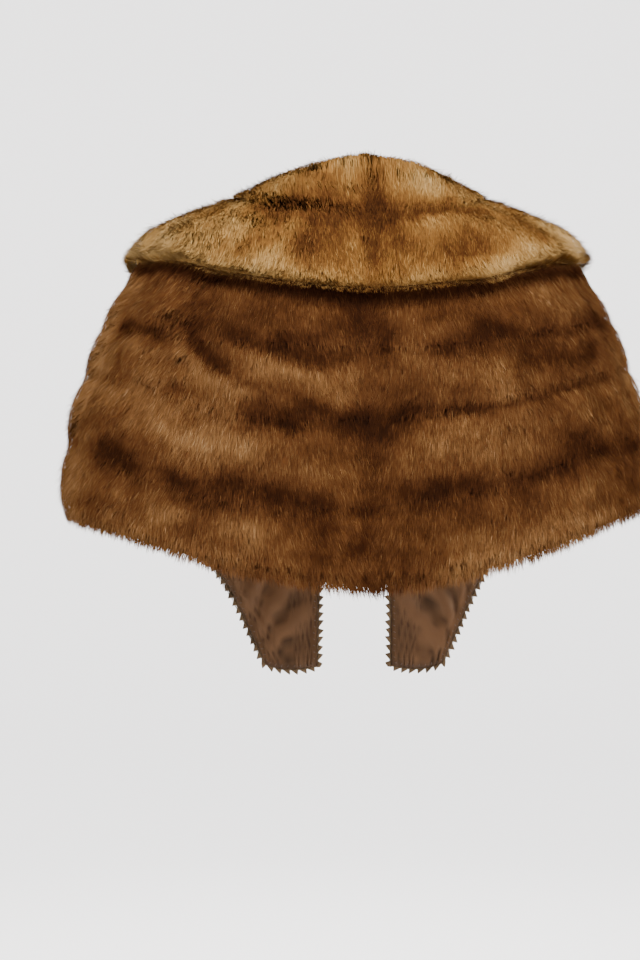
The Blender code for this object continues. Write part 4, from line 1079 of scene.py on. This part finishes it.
def add_trim(word, side, finish, seed):
    """A tape and its folded points, each a thin puffed triangle with a fold down its middle."""
    draw = np.random.RandomState(seed)
    point, out, normal = trimmed_edge(side)
    travelled = np.concatenate([[0.0], np.cumsum(np.linalg.norm(np.diff(point, axis=0), axis=1))])
    total = travelled[-1]

    def along(values, at):
        return np.stack([np.interp(at, travelled, values[:, axis]) for axis in range(3)], axis=-1)

    verts, faces, places = [], [], []

    def add_part(top, bottom, place):
        faces.extend((skin_faces(*top.shape[:2]) + len(verts)).tolist())
        verts.extend(top.reshape(-1, 3).tolist() + bottom.reshape(-1, 3).tolist())
        places.extend(place.reshape(-1, 2).tolist() * 2)

    middle = (TAPE_OUTSIDE + TAPE_INSIDE) / 2
    tape_at, reach = np.meshgrid(np.linspace(0, total, TAPE_COLUMNS),
                                 np.linspace(-TRIM_INSET, TAPE_EDGE, TAPE_ROWS), indexing="ij")
    base = along(point, tape_at) + along(out, tape_at) * reach[..., None]
    thick = along(normal, tape_at)
    place = np.stack([tape_at, reach], axis=-1)
    add_part(base - thick * (middle - TAPE_HALF), base - thick * (middle + TAPE_HALF), place)
    teeth = int(total / TOOTH_PITCH)
    pitch = total / teeth
    for tooth in range(teeth):
        across, up = np.meshgrid(np.linspace(-1, 1, TOOTH_COLUMNS), np.linspace(0, 1, TOOTH_ROWS),
                                 indexing="ij")
        half = pitch * 0.52 * (1.0 - 0.94 * up) ** 0.95
        swing = (TOOTH_SWING + draw.normal(0, 0.05)) * pitch
        at = np.clip((tooth + 0.5) * pitch + across * half + swing * up, 0.0, total)
        reach = TOOTH_DEPTH * (1 + draw.normal(0, 0.04)) * up - 0.0004
        puff = 0.00050 * np.sqrt(np.clip(1 - across ** 2, 0, 1)) * (1 - 0.5 * up) + 0.00008
        fold = 0.00022 * np.exp(-((across - 0.15) / 0.16) ** 2) * (1 - up)
        curl = draw.normal(0.0002, 0.0005) * up ** 2
        base = along(point, at) + along(out, at) * reach[..., None]
        thick = along(normal, at)
        place = np.stack([at, reach], axis=-1)
        add_part(base - thick * (middle + curl - puff)[..., None],
                 base - thick * (middle + curl + puff + fold)[..., None], place)
    trim = add_skin(f"satin_points_{word}", verts, faces, finish, f"sawtooth_trim_{word}")
    map_skin(trim, "cloth", np.array(places))


points_satin = satin_finish("taupe_satin_points", (0.026, 0.016, 0.0085), (0.066, 0.043, 0.024),
                            0.42, 0.0)
for word, side in SIDES.items():
    add_trim(word, side, points_satin, 500 + side)

# The room: one pale sweep of paper that is the floor and the wall all round, an even pale sky, a
# large soft light above and to the left of the camera, and two weaker ones from the right and from
# the cape's front.
def paper_finish():
    finish = bpy.data.materials.new("pale_paper")
    finish.use_nodes = True
    shader = finish.node_tree.nodes["Principled BSDF"]
    shader.inputs["Base Color"].default_value = (0.94, 0.932, 0.93, 1.0)
    shader.inputs["Roughness"].default_value = 0.9
    shader.inputs["Specular IOR Level"].default_value = 0.1
    return finish


FLOOR_HEIGHT = -1.4
ROOM_RADIUS = 6.0
ROOM_CORNER = 2.0
ROOM_HEIGHT = 5.0
CORNER_STEPS, ROUND_STEPS = 12, 96
profile = [(0.0, FLOOR_HEIGHT), (ROOM_RADIUS - ROOM_CORNER, FLOOR_HEIGHT)]
for step in range(1, CORNER_STEPS + 1):
    angle = math.radians(90 * step / CORNER_STEPS)
    profile.append((ROOM_RADIUS - ROOM_CORNER + ROOM_CORNER * math.sin(angle),
                    FLOOR_HEIGHT + ROOM_CORNER - ROOM_CORNER * math.cos(angle)))
profile.append((ROOM_RADIUS, FLOOR_HEIGHT + ROOM_HEIGHT))
sweep = bmesh.new()
edge = [sweep.verts.new((x, 0, z)) for x, z in profile]
for one, two in zip(edge, edge[1:]):
    sweep.edges.new((one, two))
bmesh.ops.spin(sweep, geom=sweep.verts[:] + sweep.edges[:], angle=2 * math.pi, steps=ROUND_STEPS,
               axis=(0, 0, 1), cent=(0, 0, 0))
bmesh.ops.remove_doubles(sweep, verts=sweep.verts, dist=0.0001)
paper_mesh = bpy.data.meshes.new("paper_sweep")
sweep.to_mesh(paper_mesh)
sweep.free()
paper_mesh.shade_smooth()
paper_mesh.materials.append(paper_finish())
paper = bpy.data.objects.new("paper_sweep", paper_mesh)
bpy.context.scene.collection.objects.link(paper)

world = bpy.data.worlds.new("soft_room")
world.use_nodes = True
sky = world.node_tree.nodes["Background"]
sky.inputs["Color"].default_value = (0.98, 0.98, 1.0, 1.0)
sky.inputs["Strength"].default_value = 1.9
bpy.context.scene.world = world


def add_light(name, place, target, size, power, colour):
    lamp = bpy.data.lights.new(name, "AREA")
    lamp.shape, lamp.size, lamp.energy, lamp.color = "DISK", size, power, colour
    light = bpy.data.objects.new(name, lamp)
    bpy.context.scene.collection.objects.link(light)
    light.location = place
    way = np.array(target) - np.array(place)
    length = np.linalg.norm(way)
    light.rotation_euler = (math.acos(-way[2] / length), 0, math.atan2(way[1], way[0]) - math.pi / 2)


CAPE_MIDDLE = (0.0, 0.0, -0.25)
add_light("soft_light_high", (-1.1, -2.5, 2.5), CAPE_MIDDLE, 1.8, 430, (1.0, 0.98, 0.95))
add_light("soft_light_right", (2.6, -1.8, 0.6), CAPE_MIDDLE, 2.0, 140, (1.0, 0.99, 0.97))
add_light("soft_light_front", (0.4, 3.2, 1.6), CAPE_MIDDLE, 2.0, 140, (1.0, 0.98, 0.95))

# The camera stands level with the lower back, a little to the left of the centre back.
VIEW_TURN = math.radians(5.0)
CAMERA_DISTANCE = 2.2
CAMERA_HEIGHT = -0.295
lens = bpy.data.cameras.new("camera")
lens.sensor_width = 36.0
lens.lens = 79.7
lens.shift_x = -0.041
camera = bpy.data.objects.new("camera", lens)
bpy.context.scene.collection.objects.link(camera)
camera.location = (-CAMERA_DISTANCE * math.sin(VIEW_TURN), -CAMERA_DISTANCE * math.cos(VIEW_TURN),
                   CAMERA_HEIGHT)
camera.rotation_euler = (math.radians(90), 0, -VIEW_TURN)
bpy.context.scene.camera = camera
